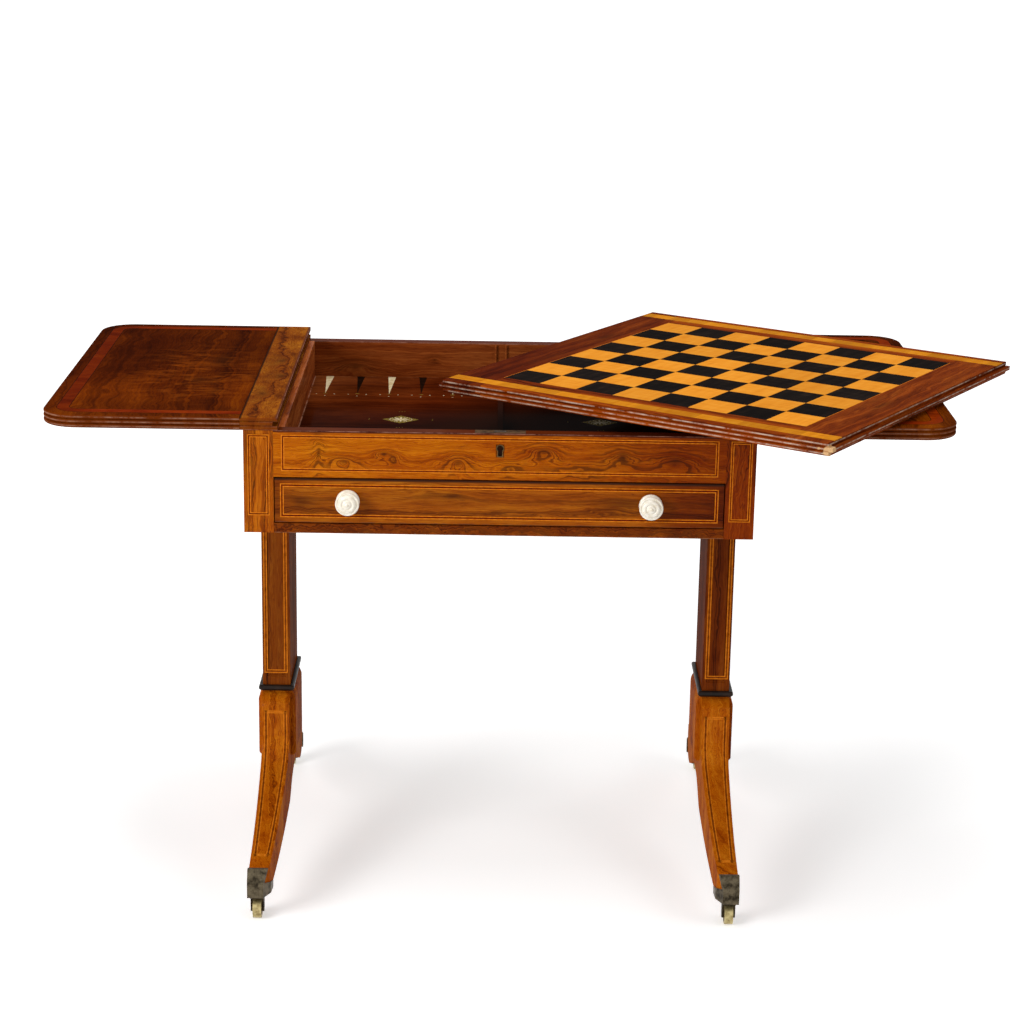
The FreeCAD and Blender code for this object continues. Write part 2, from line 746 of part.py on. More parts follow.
def lock():
    room = (
        "-railY - lockDepth / 2 - boltThickness / 2 - boltSlack",
        "-railY - lockDepth / 2 + boltThickness / 2 + boltSlack",
    )
    throat = ("-boltWidth / 2 - boltSlack", "boltWidth / 2 + boltSlack")
    case = block(
        "LockCase",
        ("-lockWidth / 2", "lockWidth / 2"),
        ("-railY - lockDepth", "-railY"),
        ("undersideZ - lockHeight", "undersideZ - plateThickness"),
    )
    case_slot = block("LockCaseSlot", throat, room, ("undersideZ - boltLength - 1", "undersideZ"))
    keyway = rod("LockKeyway", "y", "0", "-railY - lockDepth", "keyHeight", "keyEye", "lockDepth / 3")
    node("lock_case", [cut("LockCaseCut", case, [case_slot, keyway])])
    plate = block(
        "LockPlate",
        ("-plateWidth / 2", "plateWidth / 2"),
        ("-railY - plateDepth", "-railY"),
        ("undersideZ - plateThickness", "undersideZ"),
    )
    plate_slot = block("LockPlateSlot", throat, room, ("undersideZ - boltLength", "undersideZ + 1"))
    node("lock_plate", [cut("LockPlateCut", plate, [plate_slot])])
    node("lock_bolt", [block(
        "LockBolt",
        ("-boltWidth / 2", "boltWidth / 2"),
        ("-railY - lockDepth / 2 - boltThickness / 2", "-railY - lockDepth / 2 + boltThickness / 2"),
        ("undersideZ - boltLength", "undersideZ"),
    )])
    shield = block(
        "Escutcheon",
        ("-escutcheonWidth / 2", "escutcheonWidth / 2"),
        ("-halfDepth", "-halfDepth + escutcheonThickness"),
        ("keyHeight + escutcheonWidth / 2 - escutcheonHeight", "keyHeight + escutcheonWidth / 2"),
    )
    node("keyhole_escutcheon", [cut("EscutcheonCut", shield, key_tools("ShieldKey"))])


# top strips

def reeded(name, corners, wanted):
    # a board of three stacked reeds: each layer is rounded on the edges that pass the test
    layers = []
    for number in range(3):
        layer = padded("%sReed%d" % (name, number), "XY_Plane", corners, "reedHeight")
        dressed(layer, "Fillet", "Radius", "(reedHeight - reedFlat) / 2", wanted)
        place(layer, "0", "0", "%d * reedHeight" % number)
        layers.append(layer)
    return fuse(name + "Layers", layers)


def ends_only(edge):
    # level edges that run across the front and back ends
    box = edge.BoundBox
    return level(edge) and box.YLength < 1e-6


def strips():
    plank = reeded(
        "Strip",
        [("stripWidth", "0"), ("stripWidth", "topDepth"), ("0", "topDepth"), ("0", "0")],
        ends_only,
    )
    place(plank, "stripInnerX", "-halfTop", "undersideZ")
    groove = block(
        "StripGroove",
        ("stripInnerX", "stripInnerX + tongueReach + tongueSlack"),
        ("-halfTop", "halfTop"),
        ("topHeight - topThickness / 2 - grooveHalf", "topHeight - topThickness / 2 + grooveHalf"),
    )
    pair(
        "top_strips",
        cut("StripCut", plank, [groove] + plate_seats("StripSeat", ("hingeX - hingePlateWidth", "hingeX"))),
    )


# leaves and their hinges

def leaf_outline(inset):
    far = "leafWidth - " + inset
    low = inset
    high = "topDepth - " + inset
    radius = "leafCorner - " + inset
    return [
        (far + " - (" + radius + ")", low),
        (far, low + " + " + radius, radius, "left"),
        (far, high + " - (" + radius + ")"),
        (far + " - (" + radius + ")", high, radius, "left"),
        ("0", high),
        ("0", low),
    ]


def off_the_hinge_side(edge):
    return level(edge) and edge.BoundBox.XMax > 1e-6


def leaves():
    plank = reeded("Leaf", leaf_outline("0"), off_the_hinge_side)
    place(plank, "leafX", "-halfTop", "undersideZ")
    outer = padded("BandOuter", "XY_Plane", leaf_outline("bandInset"), "veneerDepth")
    inner = padded("BandInner", "XY_Plane", leaf_outline("(bandInset + bandWidth)"), "veneerDepth + 2")
    place(inner, "-1", "0", "-1")
    inner_back = padded(
        "BandInnerHinge",
        "XY_Plane",
        leaf_outline("(bandInset + bandWidth)"),
        "veneerDepth + 2",
    )
    place(inner_back, "0", "0", "-1")
    band = cut("Band", outer, [inner, inner_back])
    place(band, "leafX", "-halfTop", "topHeight - veneerDepth")
    right = cut(
        "LeafCut",
        plank,
        [copy_of("BandSeat", band)] + plate_seats("LeafSeat", ("hingeX", "hingeX + hingePlateWidth")),
    )
    node("right_leaf", [right])
    node("left_leaf", [mirrored("LeafLeft", right, ACROSS)])
    node("right_leaf_banding", [band])
    node("left_leaf_banding", [mirrored("BandLeft", band, ACROSS)])


def knuckle(name, start, length):
    return rod(name, "y", "hingeX", start, "hingeZ", "knuckleRadius", length)


def hinge(tag, sign):
    low, high = hinge_ends(sign)
    middle = "%s * hingeSpread" % sign
    plate_z = ("plateFootZ", "plateFootZ + hingePlateThickness")
    half = "middleKnuckle / 2"
    bore = rod(
        "HingeBore" + tag,
        "y",
        "hingeX",
        low + " - 1",
        "hingeZ",
        "hingePinRadius + runningFit",
        "hingeLength + 2",
    )
    moving = fuse("MovingSolid" + tag, [
        block(
            "MovingPlate" + tag,
            ("hingeX + knuckleClear", "hingeX + hingePlateWidth"),
            (low, high),
            plate_z,
        ),
        block(
            "MovingArm" + tag,
            ("hingeX", "hingeX + knuckleClear"),
            (middle + " - " + half, middle + " + " + half),
            plate_z,
        ),
        knuckle("MovingKnuckle" + tag, middle + " - " + half, "middleKnuckle"),
    ])
    moving = cut("MovingHinge" + tag, moving, [bore])
    outer_length = "hingeLength / 2 - middleKnuckle / 2 - knuckleGap"
    starts = ((low, "A"), (middle + " + " + half + " + knuckleGap", "B"))
    pieces = [block(
        "FixedPlate" + tag,
        ("hingeX - hingePlateWidth", "hingeX - knuckleClear"),
        (low, high),
        plate_z,
    )]
    for start, letter in starts:
        pieces.append(
            block(
                "FixedArm" + letter + tag,
                ("hingeX - knuckleClear", "hingeX"),
                (start, start + " + " + outer_length),
                plate_z,
            ),
        )
        pieces.append(knuckle("FixedKnuckle" + letter + tag, start, outer_length))
    fixed_bore = rod(
        "FixedBore" + tag,
        "y",
        "hingeX",
        low + " - 1",
        "hingeZ",
        "hingePinRadius",
        "hingeLength + 2",
    )
    fixed = cut("FixedHinge" + tag, fuse("FixedSolid" + tag, pieces), [fixed_bore])
    pin = rod("HingePin" + tag, "y", "hingeX", low, "hingeZ", "hingePinRadius", "hingeLength")
    return moving, fixed, pin


def hinges():
    made = [hinge("Front", "-1"), hinge("Back", "1")]
    moving = [m for m, _, _ in made]
    fixed = [f for _, f, _ in made]
    pins = [p for _, _, p in made]
    node("right_hinge_plates", moving)
    node("left_hinge_plates", [mirrored(m.Name + "Left", m, ACROSS) for m in moving])
    node("fixed_hinge_plates", fixed + [mirrored(f.Name + "Left", f, ACROSS) for f in fixed])
    node("hinge_pins", pins + [mirrored(p.Name + "Left", p, ACROSS) for p in pins])


# fly brackets, folded into their rails

def brackets():
    arm = padded("BracketArm", "YZ_Plane", [
        ("bracketLength - bracketTipCut", "0"),
        ("bracketLength", "bracketHeight", "bracketCoveRadius", "right"),
        ("0", "bracketHeight"),
        ("0", "0"),
    ], "bracketThickness")
    place(arm, "bracketX", "-bracketPivot", "bracketFootZ")
    eye = rod(
        "BracketEye",
        "z",
        "pivotX",
        "-bracketPivot",
        "bracketFootZ",
        "bracketThickness / 2",
        "bracketHeight",
    )
    hole = rod(
        "BracketHole",
        "z",
        "pivotX",
        "-bracketPivot",
        "bracketFootZ - 1",
        "pivotPinRadius + runningFit",
        "bracketHeight + 2",
    )
    right = cut("BracketCut", fuse("BracketSolid", [arm, eye]), [hole])
    node("right_bracket", [right])
    node("left_bracket", [mirrored("BracketLeft", right, ACROSS)])


# drawer

def drawer():
    seat = ring(
        "DrawerString",
        ("-drawerFrontX + drawerStringInset", "drawerFrontX - drawerStringInset"),
        ("drawerFootZ + drawerStringInset", "drawerTopZ - drawerStringInset"),
        "-halfDepth",
    )
    front = block(
        "DrawerFront",
        ("-drawerFrontX", "drawerFrontX"),
        ("-halfDepth", "drawerBackOfFrontY"),
        ("drawerFootZ", "drawerTopZ"),
    )
    node("drawer_front", [cut("DrawerFrontCut", front, [copy_of("DrawerStringSeat", seat)])])
    node("drawer_stringing", [seat])
    pair(
        "drawer_sides",
        block(
            "DrawerSide",
            ("drawerInsideX", "drawerSideX"),
            ("drawerBackOfFrontY", "drawerEndY"),
            ("sideFootZ", "sideTopZ"),
        ),
    )
    node("drawer_back", [block(
        "DrawerBack",
        ("-drawerInsideX", "drawerInsideX"),
        ("drawerEndY - drawerSideThickness", "drawerEndY"),
        ("drawerPanelZ + drawerBottomThickness", "sideTopZ - drawerBackDrop"),
    )])
    node("drawer_bottom", [block(
        "DrawerBottom",
        ("-drawerInsideX", "drawerInsideX"),
        ("drawerBackOfFrontY", "drawerEndY"),
        ("drawerPanelZ", "drawerPanelZ + drawerBottomThickness"),
    )])
    knob = turned("Knob", [
        ("0", "knobReach"),
        ("0", "0"),
        ("knobStem + 3", "0"),
        ("knobStem", "knobReach * 0.14"),
        ("knobStem", "knobReach * 0.34"),
        ("knobRadius", "knobReach * 0.62", "knobRadius * 0.8", "left"),
        ("knobRadius * 0.9", "knobReach * 0.76", "knobRadius * 0.18", "left"),
        ("knobRadius * 0.72", "knobReach * 0.8"),
        ("knobRadius * 0.55", "knobReach * 0.9", "knobRadius * 0.25", "right"),
        ("knobRadius * 0.3", "knobReach * 0.92"),
    ])
    knob.Placement = FreeCAD.Placement(FreeCAD.Vector(), FreeCAD.Rotation(FreeCAD.Vector(1, 0, 0), 90))
    place(knob, "knobSpread", "-halfDepth", "knobZ")
    pair("drawer_knobs", knob)


# stand

def posts():
    shaft = block(
        "PostShaft",
        ("postInnerX", "halfWidth"),
        ("-halfPost", "halfPost"),
        ("postFoot", "caseFootZ"),
    )
    upper = block(
        "PostTenon",
        ("flyX - tenonWidth", "flyX"),
        ("-tenonDepth / 2", "tenonDepth / 2"),
        ("caseFootZ", "caseFootZ + tenonLength"),
    )
    lower = block(
        "PostFootTenon",
        ("postX - tenonWidth / 2", "postX + tenonWidth / 2"),
        ("-tenonDepth / 2", "tenonDepth / 2"),
        ("postFoot - tenonLength", "postFoot"),
    )
    line = ring(
        "PostString",
        ("postInnerX + postStringSide", "halfWidth - postStringSide"),
        ("postFoot + postStringFoot", "caseFootZ - postStringTop"),
        "-halfPost",
    )
    back_line = mirrored("PostStringBack", line, ALONG)
    whole = fuse("PostSolid", [shaft, upper, lower])
    pair(
        "end_posts",
        cut("PostCut", whole, [copy_of("PostStringSeat", line), copy_of("PostStringBackSeat", back_line)]),
    )
    node("post_stringing", [
        line, back_line, mirrored(
            "PostStringLeft",
            line,
            ACROSS,
        ), mirrored("PostStringBackLeft", back_line, ACROSS),
    ])


def collars():
    body = padded("CollarSlab", "XY_Plane", [
        ("postWidth + 2 * collarReach", "0"),
        ("postWidth + 2 * collarReach", "postDepth + 2 * collarReach"),
        ("0", "postDepth + 2 * collarReach"),
        ("0", "0"),
    ], "collarHeight")
    dressed(body, "Chamfer", "Size", "collarFootBevel", lambda e: level(e) and e.BoundBox.ZMax < 1e-6)
    dressed(
        body,
        "Chamfer",
        "Size",
        "collarTopBevel",
        lambda e: level(e) and e.BoundBox.ZMin > worth("collarHeight") - 1e-6,
    )
    place(body, "postInnerX - collarReach", "-halfPost - collarReach", "postFoot")
    shaft = block(
        "CollarHole",
        ("postInnerX", "halfWidth"),
        ("-halfPost", "halfPost"),
        ("postFoot - 1", "postFoot + collarHeight + 1"),
    )
    pair("post_collars", cut("CollarCut", body, [shaft]))


def knees():
    core = padded("KneeCore", "YZ_Plane", [
        ("postDepth", "postFoot"),
        ("0", "postFoot"),
        ("0", "archSpring"),
        ("postDepth", "archSpring", "archRadius", "right"),
    ], "postWidth")
    place(core, "postInnerX", "-halfPost", "0")
    mortise = block(
        "KneeMortise",
        ("postX - tenonWidth / 2", "postX + tenonWidth / 2"),
        ("-tenonDepth / 2", "tenonDepth / 2"),
        ("postFoot - tenonLength", "postFoot"),
    )
    pair("knee_blocks", cut("KneeCut", core, [mortise]))
    cheek = padded("Cheek", "XZ_Plane", [
        ("0", "kneeTopZ"),
        ("0", "cheekFoot"),
        ("cheekThickness", "cheekFoot + cheekHeel", "cheekHeelRadius", "left"),
        ("cheekThickness", "kneeTopZ - cheekShoulder"),
        ("0", "kneeTopZ", "cheekShoulderRadius", "left"),
    ][1:], "cheekDepth")
    place(cheek, "halfWidth", "cheekDepth / 2", "0")
    inner = padded("CheekInner", "XZ_Plane", [
        ("cheekThickness", "cheekFoot"),
        ("cheekThickness", "kneeTopZ"),
        ("0", "kneeTopZ - cheekShoulder", "cheekShoulderRadius", "left"),
        ("0", "cheekFoot + cheekHeel"),
        ("cheekThickness", "cheekFoot", "cheekHeelRadius", "left"),
    ][1:], "cheekDepth")
    place(inner, "postInnerX - cheekThickness", "cheekDepth / 2", "0")
    node(
        "knee_cheeks",
        [cheek, inner, mirrored("CheekLeft", cheek, ACROSS), mirrored("CheekInnerLeft", inner, ACROSS)],
    )


def taper_tool(name, wall):
    # clears the inner side of a leg, which runs in towards the tip as seen from above
    shoulder = "halfPost + legShoulder"
    far = "toeReach + 2 * capWall"
    return padded(name, "XY_Plane", [
        ("0", shoulder),
        ("postInnerX - " + wall, shoulder),
        ("toeInnerX - " + wall, "toeReach - tuckLength"),
        ("toeTipX - " + wall, "toeReach"),
        ("toeTipX - " + wall, far),
        ("0", far),
    ], "postFoot")


def legs():
    shoulder = "halfPost + legShoulder"
    leg = padded("Leg", "YZ_Plane", [
        ("halfPost", "archSpring"),
        ("toeReach - toeLength", "toeFoot", "legUnderRadius", "left"),
        ("toeReach", "toeFoot"),
        ("toeReach", "toeBendHeight"),
        ("toeTopReach", "toeTopHeight"),
        (shoulder + " + legBendReach", "legKneeHeight - legBendDrop", "legSweepRadius", "right"),
        (shoulder, "legKneeHeight", "legBendRadius", "right"),
        (shoulder, "kneeTopZ - legShoulder"),
        ("halfPost", "kneeTopZ", "legShoulder", "left"),
    ], "postWidth")
    place(leg, "postInnerX", "0", "0")
    socket = rod(
        "LegSocket",
        "z",
        "castorSide",
        "castorReach",
        "capFootZ - 1",
        "stemRadius + runningFit",
        "stemLength + 2",
    )
    wood = cut("LegCut", leg, [taper_tool("LegTaper", "0"), socket])
    cap = padded("CapSolid", "YZ_Plane", [
        ("toeReach - toeLength - capWall", "capFootZ"),
        ("toeReach + capWall", "capFootZ"),
        ("toeReach + capWall", "toeBendHeight + capWall / 2"),
        ("toeTopReach + capWall", "toeTopHeight + capWall / 2"),
        ("toeTopReach - capLap", "toeTopHeight + capWall / 2"),
        ("toeReach - capLap", "toeBendHeight"),
        ("toeReach - toeLength - 2 * capWall", "toeFoot + capHeel"),
    ], "postWidth + capWall")
    place(cap, "postInnerX", "0", "0")
    cap_hole = rod(
        "CapHole",
        "z",
        "castorSide",
        "castorReach",
        "capFootZ - 1",
        "stemRadius + runningFit",
        "stemLength + 2",
    )
    shell = cut("CapCut", cap, [taper_tool("CapTaper", "capWall"), copy_of("CapRoom", wood), cap_hole])
    all_four("sabre_legs", wood)
    all_four("toe_caps", shell)


def all_four(label, source):
    front = mirrored(label + "Front", source, ALONG)
    node(
        label,
        [
            source,
            front,
            mirrored(label + "BackLeft", source, ACROSS),
            mirrored(label + "FrontLeft", front, ACROSS),
        ],
    )


# castors, one swivelling fork and one wheel at each toe

def castor(label, side, end):
    x = "%d * castorSide" % side
    y = "%d * castorReach" % end
    axle_y = y + " + castorTrail"
    inner = "wheelWidth / 2 + hornGap"
    outer = inner + " + hornThickness"
    crown = rod("Crown" + label, "z", x, y, "crownZ", "crownRadius", "crownHeight")
    # sloping shoulders, drawn from one side so that all their sketch places are positive
    bridge = padded("Bridge" + label, "XZ_Plane", [
        ("0", "crownZ - bridgeDrop"),
        ("2 * (" + outer + ")", "crownZ - bridgeDrop"),
        (outer + " + crownRadius", "crownZ - bridgeDrop + yokeRise"),
        (outer + " - crownRadius", "crownZ - bridgeDrop + yokeRise"),
    ], "hornWidth + castorTrail")
    place(bridge, x + " - (" + outer + ")", axle_y + " + hornWidth / 2", "0")
    stem = rod("Stem" + label, "z", x, y, "crownZ", "stemRadius", "crownHeight + crownGap + stemLength - 4")
    pieces = [crown, bridge, stem]
    for tag, start in (("Near", x + " - (" + outer + ")"), ("Far", x + " + " + inner)):
        pieces.append(block(
            "Horn" + tag + label,
            (start, start + " + hornThickness"),
            (axle_y + " - hornWidth / 2", axle_y + " + hornWidth / 2"),
            ("wheelRadius", "crownZ - bridgeDrop"),
        ))
        pieces.append(
            rod(
                "HornEnd" + tag + label,
                "x",
                start,
                axle_y,
                "wheelRadius",
                "hornWidth / 2",
                "hornThickness",
            ),
        )
    pieces.append(
        rod(
            "Axle" + label,
            "x",
            x + " - (" + outer + ")",
            axle_y,
            "wheelRadius",
            "axleRadius",
            "2 * (" + outer + ")",
        ),
    )
    node(label + "_castor_fork", [fuse("Fork" + label, pieces)])
    tyre = rod(
        "Wheel" + label,
        "x",
        x + " - wheelWidth / 2",
        axle_y,
        "wheelRadius",
        "wheelRadius",
        "wheelWidth",
    )
    tools = [rod(
        "WheelBore" + label,
        "x",
        x + " - wheelWidth",
        axle_y,
        "wheelRadius",
        "axleRadius + runningFit",
        "2 * wheelWidth",
    )]
    for tag, start in (("Near", x + " - wheelWidth / 2"), ("Far", x + " + wheelWidth / 2 - wheelDish")):
        dish = rod(
            "Dish" + tag + label,
            "x",
            start,
            axle_y,
            "wheelRadius",
            "wheelRadius - wheelRim",
            "wheelDish",
        )
        hub = rod("Hub" + tag + label, "x", start, axle_y, "wheelRadius", "wheelHub", "wheelDish")
        tools.append(cut("DishRing" + tag + label, dish, [hub]))
    node(label + "_castor_wheel", [cut("WheelCut" + label, tyre, tools)])


def castors():
    for end_name, end in (("front", -1), ("back", 1)):
        for side_name, side in (("left", -1), ("right", 1)):
            castor(end_name + "_" + side_name, side, end)


# chess board, laid askew on the right strip and leaf

def lay_board(piece):
    piece.Placement = FreeCAD.Placement(FreeCAD.Vector(), FreeCAD.Rotation(FreeCAD.Vector(0, 0, -1), 1))
    piece.setExpression("Placement.Rotation.Angle", bound("boardTurn"))
    place(piece, "boardX + frameX", "boardY + frameY", "topHeight + boardRest")


def board_bands(name):
    low = block(
        name + "Near",
        ("-halfBoard", "halfBoard"),
        ("-bandY - boardBandWidth", "-bandY"),
        ("topThickness - veneerDepth", "topThickness"),
    )
    high = block(
        name + "Far",
        ("-halfBoard", "halfBoard"),
        ("bandY", "bandY + boardBandWidth"),
        ("topThickness - veneerDepth", "topThickness"),
    )
    return [low, high]


def tongue_box(name, start, reach, slack="0"):
    foot = "(topThickness - tongueThickness) / 2 - " + slack
    top = "(topThickness + tongueThickness) / 2 + " + slack
    return block(name, (start, start + " + " + reach), ("-halfTop", "halfTop"), (foot, top))


def square_span(step):
    low = "%d * squareSize + squareJoint / 2" % (step - 4)
    high = "%d * squareSize - squareJoint / 2" % (step - 3)
    return low, high


def board():
    panel = reeded("Panel", [
        ("2 * panelHalf", "0"), ("2 * panelHalf", "topDepth"), ("0", "topDepth"), ("0", "0"),
    ], ends_only)
    place(panel, "-panelHalf", "-halfTop", "0")
    right_tongue = tongue_box("PanelTongue", "panelHalf", "clampTongue")
    left_tongue = mirrored("PanelTongueLeft", right_tongue, ACROSS)
    field = block(
        "FieldSeat",
        ("-fieldHalf", "fieldHalf"),
        ("-fieldHalf", "fieldHalf"),
        ("topThickness - squareDepth", "topThickness"),
    )
    core = cut(
        "PanelCut",
        fuse("PanelSolid", [panel, right_tongue, left_tongue]),
        [field] + board_bands("PanelBandSeat"),
    )
    clamp = reeded("Clamp", [
        ("clampWidth", "0"), ("clampWidth", "topDepth"), ("0", "topDepth"), ("0", "0"),
    ], ends_only)
    place(clamp, "panelHalf", "-halfTop", "0")
    groove = tongue_box("ClampGroove", "panelHalf", "clampTongue")
    tongue = tongue_box("ClampTongue", "halfBoard", "tongueReach")
    end = cut("ClampCut", fuse("ClampSolid", [clamp, tongue]), [groove] + board_bands("ClampBandSeat"))
    shades = ([], [])
    for i in range(8):
        for j in range(8):
            shades[(i + j) % 2].append(block(
                "Square%d%d" % (i, j),
                square_span(i),
                square_span(j),
                ("topThickness - squareDepth", "topThickness"),
            ))
    lay_board(node("board_panel", [core]))
    lay_board(node("board_clamps", [end, mirrored("ClampLeft", end, ACROSS)]))
    lay_board(node("dark_squares", shades[0]))
    lay_board(node("light_squares", shades[1]))
    lay_board(node("board_bands", board_bands("BoardBand")))


# build, check and write

for make in (
    corner_posts, rails, sides, runners, well, lock, strips, leaves, hinges, brackets,
    drawer, posts, collars, knees, legs, castors, board,
):
    make()
    print("made", make.__name__)
doc.removeObject("Scratch")
doc.recompute()

faults = [o.Name for o in doc.Objects if "Invalid" in o.State or "Error" in o.State]
for piece in NODES:
    if piece.Shape.isNull() or not piece.Shape.isValid() or not piece.Shape.Solids:
        faults.append(piece.Label)
if faults:
    raise SystemExit("failed: " + ", ".join(faults))

os.makedirs("parts", exist_ok=True)
whole = FreeCAD.BoundBox()
for piece in NODES:
    piece.Shape.exportStep("parts/%s.step" % piece.Label)
    whole.add(piece.Shape.BoundBox)
    print("%-28s %3d solids %12.1f mm3" % (piece.Label, len(piece.Shape.Solids), piece.Shape.Volume))
print("nodes", len(NODES), "box", [round(v, 2) for v in (
    whole.XMin, whole.YMin, whole.ZMin, whole.XMax, whole.YMax, whole.ZMax)])
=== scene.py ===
import math
from functools import partial

import bmesh
import bpy
from mathutils import Matrix, Vector
from mathutils.bvhtree import BVHTree


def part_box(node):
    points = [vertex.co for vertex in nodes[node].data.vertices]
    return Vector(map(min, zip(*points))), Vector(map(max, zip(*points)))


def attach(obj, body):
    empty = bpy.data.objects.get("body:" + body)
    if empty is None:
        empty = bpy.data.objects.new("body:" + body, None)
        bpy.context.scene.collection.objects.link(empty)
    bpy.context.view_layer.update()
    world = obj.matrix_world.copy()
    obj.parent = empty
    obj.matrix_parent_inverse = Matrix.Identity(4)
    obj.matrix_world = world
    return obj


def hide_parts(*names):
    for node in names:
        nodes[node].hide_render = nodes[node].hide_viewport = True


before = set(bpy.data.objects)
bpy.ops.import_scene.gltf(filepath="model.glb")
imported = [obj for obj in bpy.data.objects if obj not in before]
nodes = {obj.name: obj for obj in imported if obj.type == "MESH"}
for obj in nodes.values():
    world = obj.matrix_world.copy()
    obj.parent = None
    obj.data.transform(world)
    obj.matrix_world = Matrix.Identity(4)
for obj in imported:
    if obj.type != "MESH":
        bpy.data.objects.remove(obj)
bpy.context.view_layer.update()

# the table is laid out about the middle of its case, on the floor
postLow, postHigh = (Vector(corner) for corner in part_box("corner_posts"))
caseMiddle = Vector(((postLow.x + postHigh.x) / 2, (postLow.y + postHigh.y) / 2, 0))


def at(x, y, z):
    # a point given in millimetres from the middle of the case
    return caseMiddle + Vector((x, y, z)) / 1000


def linear(hexColour):
    # sRGB hex to the linear colour that the shaders take
    parts = [int(hexColour[i:i + 2], 16) / 255 for i in (1, 3, 5)]
    parts = [c / 12.92 if c <= 0.04045 else ((c + 0.055) / 1.055) ** 2.4 for c in parts]
    return (*parts, 1)


def addNode(tree, kind, inputs=None, operation=None, stops=None, **settings):
    # adds a node, sets its properties, fills or links its sockets, and gives back its outputs
    node = tree.nodes.new("ShaderNode" + kind)
    if operation:
        node.operation = operation
    for name, value in settings.items():
        setattr(node, name, value)
    for socket, value in (inputs or {}).items():
        if isinstance(value, bpy.types.NodeSocket):
            tree.links.new(value, node.inputs[socket])
        else:
            node.inputs[socket].default_value = value
    if stops:
        ramp = node.color_ramp
        while len(ramp.elements) < len(stops):
            ramp.elements.new(0.5)
        for element, (place, colour) in zip(ramp.elements, stops):
            element.position = place
            element.color = linear(colour)
    return node.outputs


def newMaterial(name):
    # an empty material, and the function that adds a node to it
    material = bpy.data.materials.new(name)
    material.use_nodes = True
    material.node_tree.nodes.clear()
    return material, partial(addNode, material.node_tree)


print("stage: helpers ready")

# Each look: the point the grain is measured from (mm), how the grain is turned, the pith's offset across it, the
# spacing of the growth lines, how far the grain wanders, how far eddies push it, the knots (along, across, half length,
# half width, lift), the tones of the lines, the slow tones, how strong the dark outlines are, the gloss of the polish
# and its roughness. "cast" and "crossCast" change the veneer's colour along two of the table's axes: axis, from, to
# and tints; on the frieze, drawer, pilasters, posts and well floor they are painted shade. "rims" are straight lines
# along edges: the axis they run along, the two other places, reach and colour; the pale ones are painted highlights and
# reflections, partly rubbed polish, some dark ones are painted shade in gaps, and one is the board's painted shadow on
# the well floor. "crests" are heights of reeds painted with a pale highlight. "skirt" is the tone of upright faces and
# "capped" the tone above a height. "flames" are bright tongues, "edging" is the pair of lines along a crossbanding, and
# "chips" are spots of bare wood: where they are and how far they reach.

boardTurn = -33  # degrees
boardMiddle = (328, -47, 748.2)
alongX, alongY, alongZ = (90, 0, 0), (0, 0, 90), (0, -90, 0)  # turns that lay the grain along an axis
# pale edge tones: painted highlights along edges where the polish is rubbed
rubbedHighlightPink, rubbedHighlightBrown = "#966450", "#8a5a3c"
boardCrests = [733.1, 739.2, 745.4]

